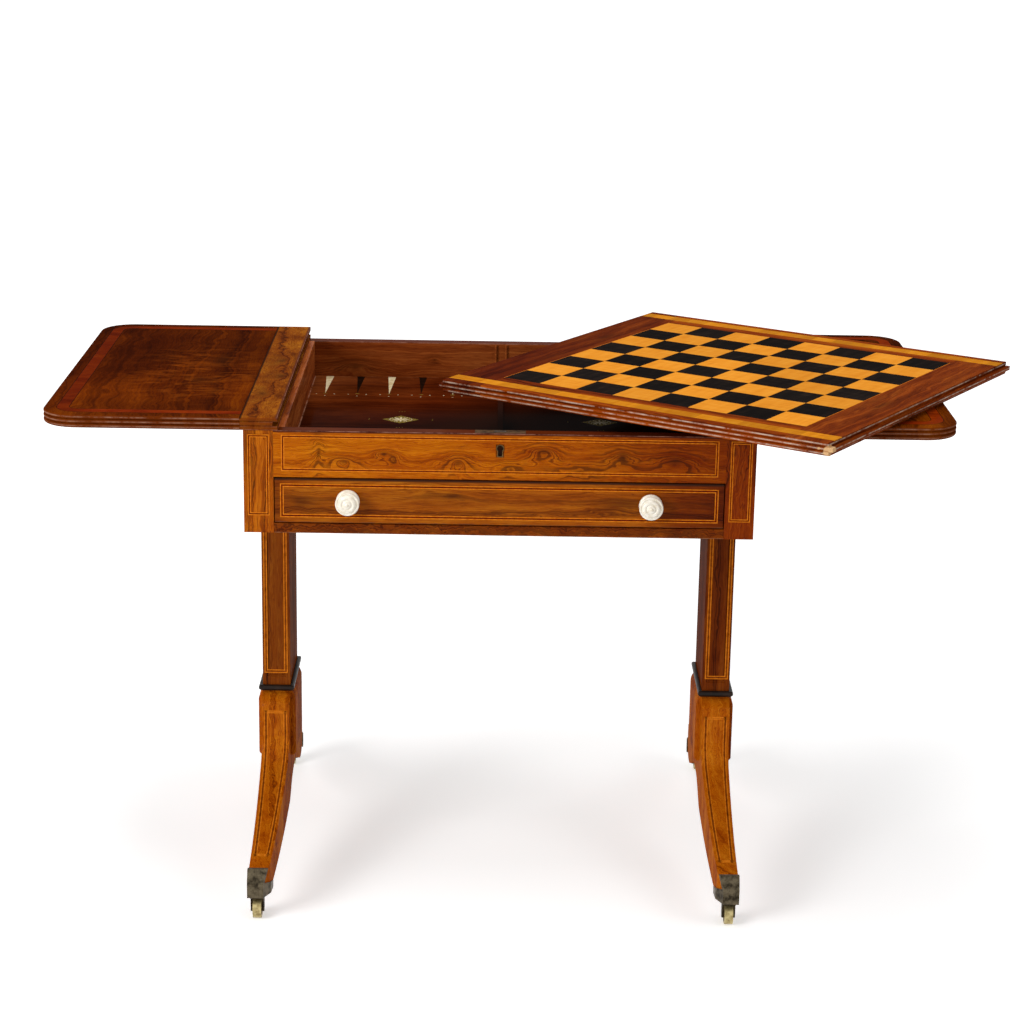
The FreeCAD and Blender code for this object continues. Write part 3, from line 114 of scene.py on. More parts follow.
woods = {
    "friezeWalnut": {  # burr walnut: warm orange-brown, with knots ringed by dark lines
        "centre": (0, -292, 681), "turn": alongX, "pith": (-190, 30), "line": 1.5, "wander": (70, 26, 9), "swirl": 16,
        "knots": [
            (-204, -6, 17, 9, 30), (-150, 5, 12, 6, 22), (-138, -2, 6, 6, 16), (-52, -6, 15, 11, 34),
            (62, 12, 22, 12, 34), (168, 6, 20, 20, 22), (240, 2, 26, 16, 26), (-238, 4, 6, 24, 12), (20, -14, 12, 8, 8),
            (112, -16, 26, 8, 8),
        ],
        "tones": [(0.3, "#743703"), (0.42, "#ac5c06"), (0.5, "#be6c08"), (0.62, "#ca7c10"), (0.75, "#aa5c06")],
        "slow": [(0.3, "#d8b496"), (0.5, "#f6e6d8"), (0.7, "#ffffff")],
        # painted shade: the frieze darkens towards the right, away from the key lamp
        "cast": (0, -343, 343, [
            (0.0, "#ffffff"), (0.4, "#f6ecdc"), (0.62, "#eadccb"), (0.85, "#c09c84"), (1.0, "#b48c74"),
        ]),
        # a dark line along the top front edge, with a pale painted highlight over rubbed polish on it; the top above is
        # darker
        "rims": [(0, -292, 712, 2.6, "#3a130c"), (0, -292, 712, 0.9, rubbedHighlightPink)], "capped": (711.4, "#4e1c0a"),
        "outline": 0.62, "gloss": 0.06, "polish": 0.3,
    },
    "drawerWalnut": {  # plainer walnut: browner, its lines run the drawer's length
        "centre": (0, -292, 616), "turn": alongX, "pith": (-330, 60), "line": 1.7, "wander": (90, 22, 8), "swirl": 12,
        "knots": [
            (-262, 2, 44, 26, 5), (60, -14, 5, 4, 8), (170, 4, 90, 20, 8), (-60, 12, 40, 8, 6), (-92, 24, 26, 8, 12),
        ],
        "tones": [(0.3, "#6c390a"), (0.42, "#94520d"), (0.5, "#a45e10"), (0.62, "#ae6a17"), (0.75, "#92520d")],
        "slow": [(0.3, "#c8a890"), (0.5, "#f0dfd2"), (0.7, "#ffffff")],
        # painted shade: darker towards the right, away from the key lamp, and darker and greyer at the very left end
        "cast": (0, -300, 300, [
            (0.0, "#c8b0a4"), (0.03, "#f0e0d4"), (0.08, "#ffffff"), (0.8, "#fff2e4"), (0.9, "#c8a48c"),
            (1.0, "#a47c60"),
        ]),
        # painted shade in the gap under the frieze along the top edge, and a darker line along the lower edge
        "rims": [(0, -292, 646.4, 3.2, "#2e180e"), (0, -292, 585, 1.6, "#6a3a22")],
        "outline": 0.35, "gloss": 0.07, "polish": 0.36,
    },
    "railWalnut": {  # dark walnut, laid with its grain upright, in short lengths
        "centre": (0, -292, 576), "turn": alongX, "pith": (-60, 40), "line": 2.4, "wander": (26, 22, 14), "swirl": 20,
        "knots": [
            (-200, 0, 30, 9, 14), (-96, -3, 16, 8, 18), (-30, 2, 18, 8, 16), (40, 2, 24, 9, 14), (150, -2, 40, 8, 16),
            (240, 3, 30, 9, 14),
        ],
        "tones": [(0.3, "#431c04"), (0.43, "#763807"), (0.52, "#8a4509"), (0.64, "#a05812"), (0.76, "#683006")],
        "slow": [(0.3, "#c8a48c"), (0.5, "#f0dccb"), (0.7, "#ffffff")],
        # a pale painted highlight over rubbed polish along the top edge
        "rims": [(0, -292, 570.3, 1.0, rubbedHighlightBrown)],
        "outline": 0.5, "gloss": 0.06, "polish": 0.34,
    },
    "pilasterWalnut": {  # upright grain, golden on the left and browner on the right, where painted shade darkens it
        "centre": (323, -272, 641), "turn": alongZ, "pith": (90, 60), "line": 1.6, "wander": (60, 20, 8), "swirl": 12,
        "knots": [(46, 0, 30, 14, 20), (-40, 6, 20, 9, 9), (40, -646, 24, 12, 18), (-50, -650, 20, 10, 12)],
        "tones": [(0.3, "#623404"), (0.42, "#a05408"), (0.5, "#b4640a"), (0.62, "#c27414"), (0.75, "#964d07")],
        "slow": [(0.3, "#d0aa88"), (0.5, "#f4e2d0"), (0.7, "#ffffff")],
        # painted shade: the right-hand pilaster darker, away from the key lamp
        "cast": (0, -343, 343, [(0.0, "#ffffff"), (0.4, "#ffffff"), (0.6, "#c8a288"), (1.0, "#c49c82")]),
        "outline": 0.6, "gloss": 0.07, "polish": 0.33,
    },
    "caseSideWalnut": {  # broad, quiet walnut of the outer rails
        "centre": (0, 0, 641), "turn": alongY, "pith": (500, -160), "line": 2.2, "wander": (110, 28, 10), "swirl": 14,
        "knots": [(-140, 300, 60, 60, 20)],
        "tones": [(0.3, "#5c2a05"), (0.42, "#8e4a08"), (0.5, "#a4580a"), (0.62, "#b26812"), (0.75, "#8c4808")],
        "slow": [(0.3, "#c8a68c"), (0.5, "#f0dece"), (0.7, "#ffffff")],
        "outline": 0.4, "gloss": 0.09, "polish": 0.36,
    },
    "backWalnut": {  # redder, darker walnut of the back rail
        "centre": (0, 292, 641), "turn": alongX, "pith": (-300, -60), "line": 2.2, "wander": (110, 28, 10), "swirl": 14,
        "knots": [(120, 10, 40, 24, 26), (-222, 36, 26, 9, 22), (-98, 50, 9, 5, 12)],
        "tones": [(0.3, "#4c2010"), (0.42, "#7c3c1a"), (0.5, "#8e4a20"), (0.62, "#9e5828"), (0.75, "#783a18")],
        "slow": [(0.3, "#c4a28a"), (0.5, "#eedccc"), (0.7, "#ffffff")],
        # a pale painted highlight over rubbed polish along the top edge; the top above is darker
        "rims": [(0, 272, 712, 1.3, rubbedHighlightPink)], "capped": (711.4, "#54200f"),
        "outline": 0.4, "gloss": 0.09, "polish": 0.36,
    },
    "stripWalnut": {  # burr: many small eyes, with paler wavy cross figure
        "centre": (322, 0, 730), "turn": alongY, "pith": (150, 70), "line": 2.4, "wander": (44, 30, 16), "swirl": 30,
        "knots": [
            (-230, 0, 24, 22, 26), (-150, 12, 30, 16, 24), (-70, -8, 34, 20, 30), (20, 6, 40, 18, 30),
            (110, -4, 34, 24, 26), (190, 10, 40, 16, 22), (-150, 660, 30, 16, 24), (-40, 640, 34, 18, 30),
            (60, 650, 30, 18, 26),
        ],
        "tones": [(0.3, "#4a2405"), (0.41, "#824509"), (0.5, "#9a5b11"), (0.62, "#b2751e"), (0.76, "#784007")],
        "slow": [(0.3, "#b48e6a"), (0.5, "#ead0b0"), (0.7, "#fffaf0")],
        # pale painted highlights along the crests of the reeds; the reeds' upright faces take their own tone
        "crests": [712.8, 718, 724], "skirt": "#6c300d",
        # painted shade in the gaps along the inner edges by the well, with a pale painted highlight over rubbed polish
        # on one; dark lines where the strips meet the leaves
        "rims": [
            (1, 297, 730, 3.0, "#5a2c1c"), (1, -297, 730, 3.0, "#5a2c1c"), (1, -297, 730, 0.8, rubbedHighlightPink),
            (1, 347, 730, 2.5, "#2c1206"), (1, -347, 730, 2.5, "#2c1206"),
        ],
        "outline": 0.34, "gloss": 0.02, "polish": 0.3,
    },
    "leafMahogany": {  # plain soft tones, with short bright tongues of flame figure near the middle
        "centre": (-480, 0, 730), "turn": alongY, "pith": (-260, 160), "line": 5.0, "wander": (120, 90, 26),
        "swirl": 26, "knots": [(-70, -40, 60, 36, 14), (60, -60, 90, 34, 12)],
        "tones": [
            (0.3, "#502104"), (0.42, "#652f03"), (0.52, "#763904"), (0.62, "#844304"), (0.72, "#904e06"),
            (0.82, "#6b3303"),
        ],
        "slow": [(0.32, "#a89078"), (0.48, "#d8c4b0"), (0.64, "#fff6ea")],
        "cast": (0, -600, 600, [(0.0, "#f2e6d8"), (0.5, "#ffffff")]),
        "crossCast": (1, -290, 290, [(0.0, "#ffffff"), (0.25, "#f8ebdc"), (0.5, "#cfbfae"), (0.6, "#c5b5a2")]),
        "flames": {
            "middle": (-10, -30), "reach": (200, 110), "size": (15, 44), "colour": "#c0691a", "show": 0.6,
            "edge": (0.48, 0.78), "fade": (0.3, 1.1),
        },
        # pale painted highlights along the crests of the reeds
        "crests": [714.9, 721, 727.2], "crestColour": "#a07a64", "crestShow": 0.6, "skirt": "#622909",
        "outline": 0.0, "gloss": 0.008, "polish": 0.26,
    },
    "postWalnut": {  # dark brown walnut with close grain up the column
        "centre": (322.5, 0, 430), "turn": alongZ, "pith": (70, 50), "line": 1.9, "wander": (90, 16, 8), "swirl": 12,
        "knots": [(-40, 0, 60, 20, 16), (60, 10, 40, 12, 10), (10, -645, 60, 20, 16)],
        "tones": [(0.3, "#42200a"), (0.42, "#70380c"), (0.5, "#82440e"), (0.62, "#925214"), (0.75, "#6e360a")],
        "slow": [(0.3, "#c8a68c"), (0.5, "#f0dece"), (0.7, "#ffffff")],
        # painted shade: the right-hand posts darker, away from the key lamp
        "cast": (0, -343, 343, [(0.0, "#ffffff"), (0.4, "#ffffff"), (0.6, "#e4d0c4"), (1.0, "#e0ccc0")]),
        "outline": 0.3, "gloss": 0.05, "polish": 0.36,
    },
    "legWalnut": {  # bright golden-brown walnut, its grain down the leg
        "centre": (331, 0, 170), "turn": alongZ, "pith": (60, 200), "line": 1.9, "wander": (40, 20, 10), "swirl": 16,
        "knots": [(0, 0, 30, 14, 12), (60, 10, 30, 12, 12)],
        "tones": [(0.3, "#763806"), (0.42, "#ac5907"), (0.5, "#bd680b"), (0.62, "#c87a16"), (0.75, "#a65407")],
        "slow": [(0.3, "#d0ae90"), (0.5, "#f4e4d4"), (0.7, "#ffffff")],
        "outline": 0.3, "gloss": 0.06, "polish": 0.34,
    },
    "wellMahogany": {  # red-brown mahogany with a satin polish
        "centre": (-288, 0, 690), "turn": alongY, "pith": (40, 120), "line": 3.4, "wander": (120, 26, 10), "swirl": 14,
        "knots": [(-160, 0, 50, 14, 14)],
        "tones": [(0.3, "#763a1a"), (0.42, "#a4582c"), (0.52, "#b86a36"), (0.64, "#ca7c42"), (0.78, "#98522a")],
        "slow": [(0.3, "#b09484"), (0.5, "#e0cabc"), (0.7, "#fff4ea")],
        # a pale painted highlight down the corner by the back wall
        "rims": [(2, -288.6, 272, 1.4, rubbedHighlightBrown)],
        "outline": 0.2, "gloss": 0.12, "polish": 0.3,
    },
    "wellFloorMahogany": {  # smooth mahogany, with painted shade that makes it almost black towards the front
        "centre": (0, 0, 657), "turn": alongX, "pith": (-160, 300), "line": 5.5, "wander": (120, 60, 20), "swirl": 18,
        "knots": [(-200, 60, 60, 40, 14)],
        "tones": [(0.3, "#6c3a20"), (0.44, "#804926"), (0.54, "#90562c"), (0.66, "#a06436"), (0.8, "#784020")],
        "slow": [(0.32, "#a88c7c"), (0.5, "#d8c0b0"), (0.7, "#fff0e4")],
        # painted shade: darker towards the front, where the front rail and the board shade the floor and darken its
        # reflection
        "cast": (1, -272, 272, [
            (0.0, "#2a1c14"), (0.3, "#40301f"), (0.5, "#a48a78"), (0.7, "#d8c0b0"), (0.95, "#ffffff"),
        ]),
        # painted shadow of the board: darker towards the right
        "crossCast": (0, -290, 60, [(0.0, "#ffffff"), (0.25, "#ead8ca"), (0.55, "#c09c88"), (1.0, "#a88470")]),
        # pale painted reflections along the foot of the back wall and both side walls, then the board's painted shadow
        # as a broad dark patch towards the front
        "rims": [
            (0, 272, 657, 1.2, rubbedHighlightBrown), (1, -288.6, 657, 1.5, "#a8745c"), (1, 288.6, 657, 1.2, rubbedHighlightBrown),
            (2, 60, -70, 195, "#240d04"),
        ],
        "outline": 0.1, "gloss": 0.015, "polish": 0.2,
    },
    "bandRosewood": {  # crossbanding: short cross grain, orange-red, held between two thin dark lines
        "centre": (0, 0, 730), "turn": (0, 0, 0), "pith": (0, 400), "line": 2.2, "wander": (30, 18, 6), "swirl": 6,
        "knots": [],
        "tones": [(0.3, "#742806"), (0.45, "#883207"), (0.6, "#963c09"), (0.75, "#7c2c06")],
        "slow": [(0.3, "#d8b498"), (0.5, "#f4e0cc"), (0.7, "#ffffff")],
        "cast": (0, -600, -540, [(0.0, "#cec49a"), (0.45, "#cec49a"), (0.95, "#ffffff")]),
        "edging": {"half": (598, 278), "round": 31, "width": 18, "line": 0.9, "soft": (1.3, 0.8), "colour": "#1e0a04"},
        "outline": 0.1, "gloss": 0.012, "polish": 0.24,
    },
    "borderWalnut": {  # red-brown walnut beside the chess field, its reeds rubbed pale
        "centre": boardMiddle, "turn": (0, 0, boardTurn), "pith": (330, 160), "line": 2.2, "wander": (120, 22, 8),
        "swirl": 12,
        "knots": [(-160, -250, 60, 16, 10)],
        "tones": [(0.3, "#5c2203"), (0.43, "#8b3e06"), (0.52, "#a14c08"), (0.64, "#b15c0f"), (0.78, "#893e05")],
        "slow": [(0.3, "#c8a48a"), (0.5, "#f0dccb"), (0.7, "#ffffff")],
        # pale painted highlights along the crests of the reeds
        "crests": boardCrests, "crestColour": "#c2ac9a", "crestShow": 0.9,
        "outline": 0.25, "gloss": 0.02, "polish": 0.28,
    },
    "clampWalnut": {  # browner walnut at the board's ends, chipped at one corner
        "centre": boardMiddle, "turn": (0, 0, boardTurn + 90), "pith": (500, 160), "line": 2.6, "wander": (110, 26, 9),
        "swirl": 16,
        "knots": [(-60, -262, 90, 18, 18), (90, 262, 80, 16, 14)],
        "tones": [(0.3, "#54220a"), (0.43, "#7e390e"), (0.52, "#944812"), (0.64, "#a4561a"), (0.78, "#7c380f")],
        "slow": [(0.3, "#bc9a86"), (0.5, "#ecd6c6"), (0.7, "#ffffff")],
        "cast": (0, 60, 640, [(0.0, "#bca292"), (0.4, "#ffffff")]),
        # pale painted highlights along the crests of the reeds
        "crests": boardCrests, "crestColour": "#c2ac9a", "crestShow": 0.9,
        "chips": [(-288, -293, -7, 9), (-294, -278, -4, 5)],
        "outline": 0.25, "gloss": 0.02, "polish": 0.3,
    },
    "bracketOak": {  # raw oak: dull, greenish brown, never polished
        "centre": (332, -20, 675), "turn": alongY, "pith": (40, 60), "line": 2.0, "wander": (90, 16, 6), "swirl": 8,
        "knots": [(60, 0, 20, 12, 12)],
        "tones": [(0.3, "#5a3c18"), (0.45, "#825c28"), (0.55, "#936c34"), (0.7, "#a47e42"), (0.8, "#785424")],
        "slow": [(0.3, "#c4b8a6"), (0.5, "#eee4d6"), (0.7, "#ffffff")],
        "outline": 0.2, "gloss": 0.0, "polish": 0.6,
    },
    "carcaseDeal": {  # planed deal: pale, dull, with long soft lines
        "centre": (0, 0, 600), "turn": alongY, "pith": (120, 60), "line": 3.0, "wander": (140, 22, 8), "swirl": 8,
        "knots": [],
        "tones": [(0.3, "#745024"), (0.45, "#966936"), (0.55, "#a67a44"), (0.7, "#b88e54"), (0.8, "#8e6030")],
        "slow": [(0.3, "#c0b09a"), (0.5, "#ece0ce"), (0.7, "#ffffff")],
        "outline": 0.1, "gloss": 0.0, "polish": 0.65,
    },
}


# How all of the woods are drawn. Lengths are in mm. Growth lines and fibres are about 1 mm wide, coarser than real
# ones, so that they show.
figure = {
    "broad": 0.16,  # pace of the broad bands, against that of the fine lines
    "darkLine": (0.006, 0.05),  # how near its middle the broad tone is, from a dark line's heart to its edge
    "byKnot": (0.12, 0.42, 0.12),  # dark lines grow strong between these two nearnesses; how strong they are elsewhere
    "heart": 7.0,  # how tight a knot's dark heart is
    "fibre": (30, 1.1),  # length and width
    "streaks": [(0.32, "#a38468"), (0.46, "#efe0d2"), (0.6, "#ffffff")], "streakShow": 0.75,
    "lineColour": "#2c1004", "heartColour": "#341504", "heartShow": 0.6, "bareColour": "#d2a878",
    "clouds": 0.7,  # pace of the cloudy colour
    "sheen": (0.3, 0.7), "duller": 0.08,  # where the fibres' noise goes from dull to glossy, and how much duller
    "relief": (0.12, 0.0003), "coatRough": 0.6,
}
# wear, and the painted highlights, reflections and shade drawn with it
wearAndLight = {
    "patchy": (0.38, 0.6),  # where the noise that breaks up thin rims and crests goes from whole to broken
    "upright": (0.75, 0.9),  # faces count as upright below the first of these, and as flat above the second
    "skirtShow": 0.7, "cappedShow": 0.92, "rimShow": 0.95, "crestShow": 0.8,
    "rimFade": (0.55, 1.25),  # shares of a rim's reach
    "unbroken": 2.5,  # rims that reach this far aren't broken up
    "crest": (0.3, 1.3),  # half width of a crest's painted highlight, from full to none
    "chipFade": 0.8,  # share of a chip's reach that is bare
}
millimetre = (0.001, 0.001, 0.001)


def measured(add, centre=(0, 0, 0), turn=(0, 0, 0)):
    # the shaded point in millimetres from a place on the table, along axes turned by these degrees
    where = add("TexCoord")["Object"]
    turns = [math.radians(a) for a in turn]
    return add(
        "Mapping", {"Vector": where, "Location": at(*centre), "Rotation": turns, "Scale": millimetre},
        vector_type="TEXTURE",
    )[0]


def coated(add, colour, rough, height, relief, sockets):
    # what every finish ends with: a little relief (its strength and its depth in metres), the shader and the output
    bump = add("Bump", {"Height": height, "Strength": relief[0], "Distance": relief[1]})[0]
    shader = add("BsdfPrincipled", {"Base Color": colour, "Roughness": rough, "Normal": bump, **sockets})[0]
    add("OutputMaterial", {"Surface": shader})


def grainTone(add, look):
    # Growth lines are rings about a pith that wanders; each knot lifts the rings so that lines close round it.
    grain = measured(add, look["centre"], look["turn"])
    along, across, reach = look["wander"]
    slow = add("VectorMath", {0: grain, 1: (1 / along, 1 / across, 1 / across)}, "MULTIPLY")[0]
    drift = add("TexNoise", {"Vector": slow, "Scale": 1, "Detail": 3, "Roughness": 0.55})["Color"]
    bent = add("VectorMath", {0: drift, 1: (reach, reach, reach), 2: grain}, "MULTIPLY_ADD")[0]
    fromPith = add("VectorMath", {0: bent, 1: (0, *look["pith"])}, "ADD")[0]
    fromPith = add("VectorMath", {0: fromPith, 1: (0, 1, 1)}, "MULTIPLY")[0]
    rings = add("VectorMath", {0: fromPith}, "LENGTH")["Value"]
    eddies = add("TexNoise", {"Vector": slow, "Scale": 1.9, "Detail": 2, "Roughness": 0.5, "Distortion": 0.6})["Fac"]
    rings = add("Math", {0: eddies, 1: look["swirl"], 2: rings}, "MULTIPLY_ADD")[0]
    nearest, dark = None, None
    for x, y, long, wide, lift in look["knots"]:
        toKnot = add("VectorMath", {0: bent, 1: (x, y, 0)}, "SUBTRACT")[0]
        toKnot = add("VectorMath", {0: toKnot, 1: (1 / long, 1 / wide, 0)}, "MULTIPLY")[0]
        square = add("VectorMath", {0: toKnot, 1: toKnot}, "DOT_PRODUCT")["Value"]
        more = add("Math", {0: square, 1: 1.0}, "ADD")[0]
        near = add("Math", {0: 1.0, 1: more}, "DIVIDE")[0]
        rings = add("Math", {0: near, 1: float(lift), 2: rings}, "MULTIPLY_ADD")[0]
        core = add("Math", {0: near, 1: figure["heart"]}, "POWER")[0]
        if nearest:
            core = add("Math", {0: dark, 1: core}, "ADD")[0]
            near = add("Math", {0: nearest, 1: near}, "MAXIMUM")[0]
        nearest, dark = near, core
    tones = []
    for share, detail, rough in ((1, 3, 0.6), (figure["broad"], 1, 0.5)):
        pace = add("Math", {0: rings, 1: share / look["line"]}, "MULTIPLY")[0]
        noise = {"W": pace, "Scale": 1, "Detail": detail, "Roughness": rough}
        tones.append(add("TexNoise", noise, noise_dimensions="1D")["Fac"])
    lines = add("Mix", {0: 0.5, 2: tones[0], 3: tones[1]}, data_type="FLOAT")[0]
    # dark lines are drawn where the broad tone crosses its middle
    off = add("Math", {0: tones[1], 1: 0.5}, "SUBTRACT")[0]
    off = add("Math", {0: off}, "ABSOLUTE")[0]
    heart, edge = figure["darkLine"]
    outline = add(
        "MapRange", {"Value": off, "From Min": heart, "From Max": edge, "To Min": look["outline"], "To Max": 0.0},
    )[0]
    if nearest:
        far, close, least = figure["byKnot"]
        strength = add(
            "MapRange", {"Value": nearest, "From Min": far, "From Max": close, "To Min": least, "To Max": 1.0},
        )[0]
        outline = add("Math", {0: outline, 1: strength}, "MULTIPLY")[0]
    long, wide = figure["fibre"]
    thread = add("VectorMath", {0: bent, 1: (1 / long, 1 / wide, 1 / wide)}, "MULTIPLY")[0]
    fibres = add("TexNoise", {"Vector": thread, "Scale": 1, "Detail": 4, "Roughness": 0.65})["Fac"]
    return bent, slow, lines, fibres, dark, outline


def rubbed(add, point, look):
    # worn places, painted highlights, painted reflections and painted shade, broken up so that they come and go: how
    # much of each there is, and its tone
    places = []
    patchy = add("TexNoise", {"Vector": point, "Scale": 0.05, "Detail": 5, "Roughness": 0.75})["Fac"]
    whole, bare = wearAndLight["patchy"]
    patchy = add("MapRange", {"Value": patchy, "From Min": whole, "From Max": bare})[0]
    upward = add("SeparateXYZ", {0: add("TexCoord")["Normal"]})["Z"]
    upward = add("Math", {0: upward}, "ABSOLUTE")[0]
    steep, flat = wearAndLight["upright"]
    fade = {"From Min": steep, "From Max": flat, "To Min": 1.0, "To Max": 0.0}
    sideways = add("MapRange", {"Value": upward, **fade})[0]
    height = add("SeparateXYZ", {0: point})["Z"]
    if "skirt" in look:
        amount = add("Math", {0: sideways, 1: wearAndLight["skirtShow"]}, "MULTIPLY")[0]
        places.append((amount, look["skirt"]))
    if "capped" in look:
        level, tint = look["capped"]
        above = add("Math", {0: height, 1: level}, "GREATER_THAN")[0]
        above = add("Math", {0: above, 1: wearAndLight["cappedShow"]}, "MULTIPLY")[0]
        places.append((above, tint))
    nearEnd, farEnd = wearAndLight["rimFade"]
    # rims: lines along straight edges, most of them painted highlights, reflections and shade
    for axis, first, second, reach, tint in look.get("rims", []):
        keep = tuple(0 if i == axis else 1 for i in range(3))
        place = [first, second]
        place.insert(axis, 0)
        flat = add("VectorMath", {0: point, 1: keep}, "MULTIPLY")[0]
        away = add("VectorMath", {0: flat, 1: place}, "DISTANCE")["Value"]
        fade = {"From Min": reach * nearEnd, "From Max": reach * farEnd, "To Min": wearAndLight["rimShow"], "To Max": 0.0}
        marked = add("MapRange", {"Value": away, **fade})[0]
        if reach < wearAndLight["unbroken"]:
            marked = add("Math", {0: marked, 1: patchy}, "MULTIPLY")[0]
        places.append((marked, tint))
    # crests: pale painted highlights along the reeds
    full, none = wearAndLight["crest"]
    fade = {"From Min": full, "From Max": none, "To Min": look.get("crestShow", wearAndLight["crestShow"]), "To Max": 0.0}
    for crest in look.get("crests", []):
        away = add("Math", {0: height, 1: float(crest)}, "SUBTRACT")[0]
        away = add("Math", {0: away}, "ABSOLUTE")[0]
        marked = add("MapRange", {"Value": away, **fade})[0]
        for share in (patchy, sideways):
            marked = add("Math", {0: marked, 1: share}, "MULTIPLY")[0]
        places.append((marked, look.get("crestColour", rubbedHighlightPink)))
    return places


def edged(add, point, edging):
    # how much of a thin line there is along both sides of the crossbanding, which follows a rounded rectangle
    flat = add("VectorMath", {0: point, 1: (1, 1, 0)}, "MULTIPLY")[0]
    flat = add("VectorMath", {0: flat}, "ABSOLUTE")[0]
    inner = [side - edging["round"] for side in edging["half"]] + [0]
    over = add("VectorMath", {0: flat, 1: inner}, "SUBTRACT")[0]
    beyond = add("VectorMath", {0: over, 1: (0, 0, 0)}, "MAXIMUM")[0]
    outside = add("VectorMath", {0: beyond}, "LENGTH")["Value"]
    parts = add("SeparateXYZ", {0: over})
    inside = add("Math", {0: parts["X"], 1: parts["Y"]}, "MAXIMUM")[0]
    inside = add("Math", {0: inside, 1: 0.0}, "MINIMUM")[0]
    reach = add("Math", {0: outside, 1: inside}, "ADD")[0]
    edge = edging["width"] / 2
    reach = add("Math", {0: reach, 1: edging["round"] - edge}, "SUBTRACT")[0]
    reach = add("Math", {0: reach}, "ABSOLUTE")[0]
    start, end = (edge - edging["line"] * share for share in edging["soft"])
    return add("MapRange", {"Value": reach, "From Min": start, "From Max": end})[0]


def flamed(add, bent, flames):
    # how much there is of short bright tongues across the grain, thickest about one place
    (long, wide), (farLong, farWide) = flames["size"], flames["reach"]
    tongues = add("VectorMath", {0: bent, 1: (1 / long, 1 / wide, 0)}, "MULTIPLY")[0]
    tongues = add("TexNoise", {"Vector": tongues, "Scale": 1, "Detail": 2, "Roughness": 0.5, "Distortion": 1.0})["Fac"]
    start, end = flames["edge"]
    tongues = add("MapRange", {"Value": tongues, "From Min": start, "From Max": end})[0]
    off = add("VectorMath", {0: bent, 1: (*flames["middle"], 0)}, "SUBTRACT")[0]
    off = add("VectorMath", {0: off, 1: (1 / farLong, 1 / farWide, 0)}, "MULTIPLY")[0]
    off = add("VectorMath", {0: off}, "LENGTH")["Value"]
    start, end = flames["fade"]
    near = add(
        "MapRange", {"Value": off, "From Min": start, "From Max": end, "To Min": flames["show"], "To Max": 0.0},
    )[0]
    return add("Math", {0: tongues, 1: near}, "MULTIPLY")[0]


def veneer(name, look):
    # Hand-cut veneer under thin French polish: even sheen, lines that flow round knots, cloudy colour. The wood itself
    # has no mirror of its own; all the gloss is the coat's.
    material, add = newMaterial(name)
    point = measured(add)
    bent, slow, lines, fibres, dark, outline = grainTone(add, look)
    colour = add("ValToRGB", {"Fac": lines}, stops=look["tones"])[0]
    clouds = add("TexNoise", {"Vector": slow, "Scale": figure["clouds"], "Detail": 3, "Roughness": 0.6})["Fac"]
    clouds = add("ValToRGB", {"Fac": clouds}, stops=look["slow"])[0]
    streaks = add("ValToRGB", {"Fac": fibres}, stops=figure["streaks"])[0]
    layers = [(1.0, clouds, "MULTIPLY"), (figure["streakShow"], streaks, "MULTIPLY")]
    if "flames" in look:
        layers.append((flamed(add, bent, look["flames"]), look["flames"]["colour"], "MIX"))
    for axis, low, high, stops in [look[key] for key in ("cast", "crossCast") if key in look]:
        place = add("SeparateXYZ", {0: point})[axis]
        place = add("MapRange", {"Value": place, "From Min": low, "From Max": high})[0]
        layers.append((1.0, add("ValToRGB", {"Fac": place}, stops=stops)[0], "MULTIPLY"))
    layers.append((outline, figure["lineColour"], "MIX"))
    if dark:
        core = add("Math", {0: dark, 1: figure["heartShow"]}, "MULTIPLY", use_clamp=True)[0]
        layers.append((core, figure["heartColour"], "MIX"))
    if "edging" in look:
        layers.append((edged(add, point, look["edging"]), look["edging"]["colour"], "MIX"))
    # worn places, and painted highlights, reflections and shade along edges
    layers += [(amount, tint, "MIX") for amount, tint in rubbed(add, point, look)]
    for *place, reach in look.get("chips", []):
        away = add("VectorMath", {0: bent, 1: place}, "DISTANCE")["Value"]
        fade = {"From Min": reach * wearAndLight["chipFade"], "From Max": reach, "To Min": 1.0, "To Max": 0.0}
        layers.append((add("MapRange", {"Value": away, **fade})[0], figure["bareColour"], "MIX"))
    for amount, tint, blend in layers:
        over = {0: amount, 6: colour, 7: linear(tint) if isinstance(tint, str) else tint}
        colour = add("Mix", over, data_type="RGBA", blend_type=blend)[2]
    (start, end), glossy = figure["sheen"], look["polish"]
    sheen = {"From Min": start, "From Max": end, "To Min": glossy + figure["duller"], "To Max": glossy}
    rough = add("MapRange", {"Value": fibres, **sheen})[0]
    coated(add, colour, rough, fibres, figure["relief"], {
        "Specular IOR Level": 0.0, "Coat Weight": look["gloss"], "Coat Roughness": glossy * figure["coatRough"],
    })
    return material


finishes = {name: veneer(name, look) for name, look in woods.items()}

print("stage: woods ready")

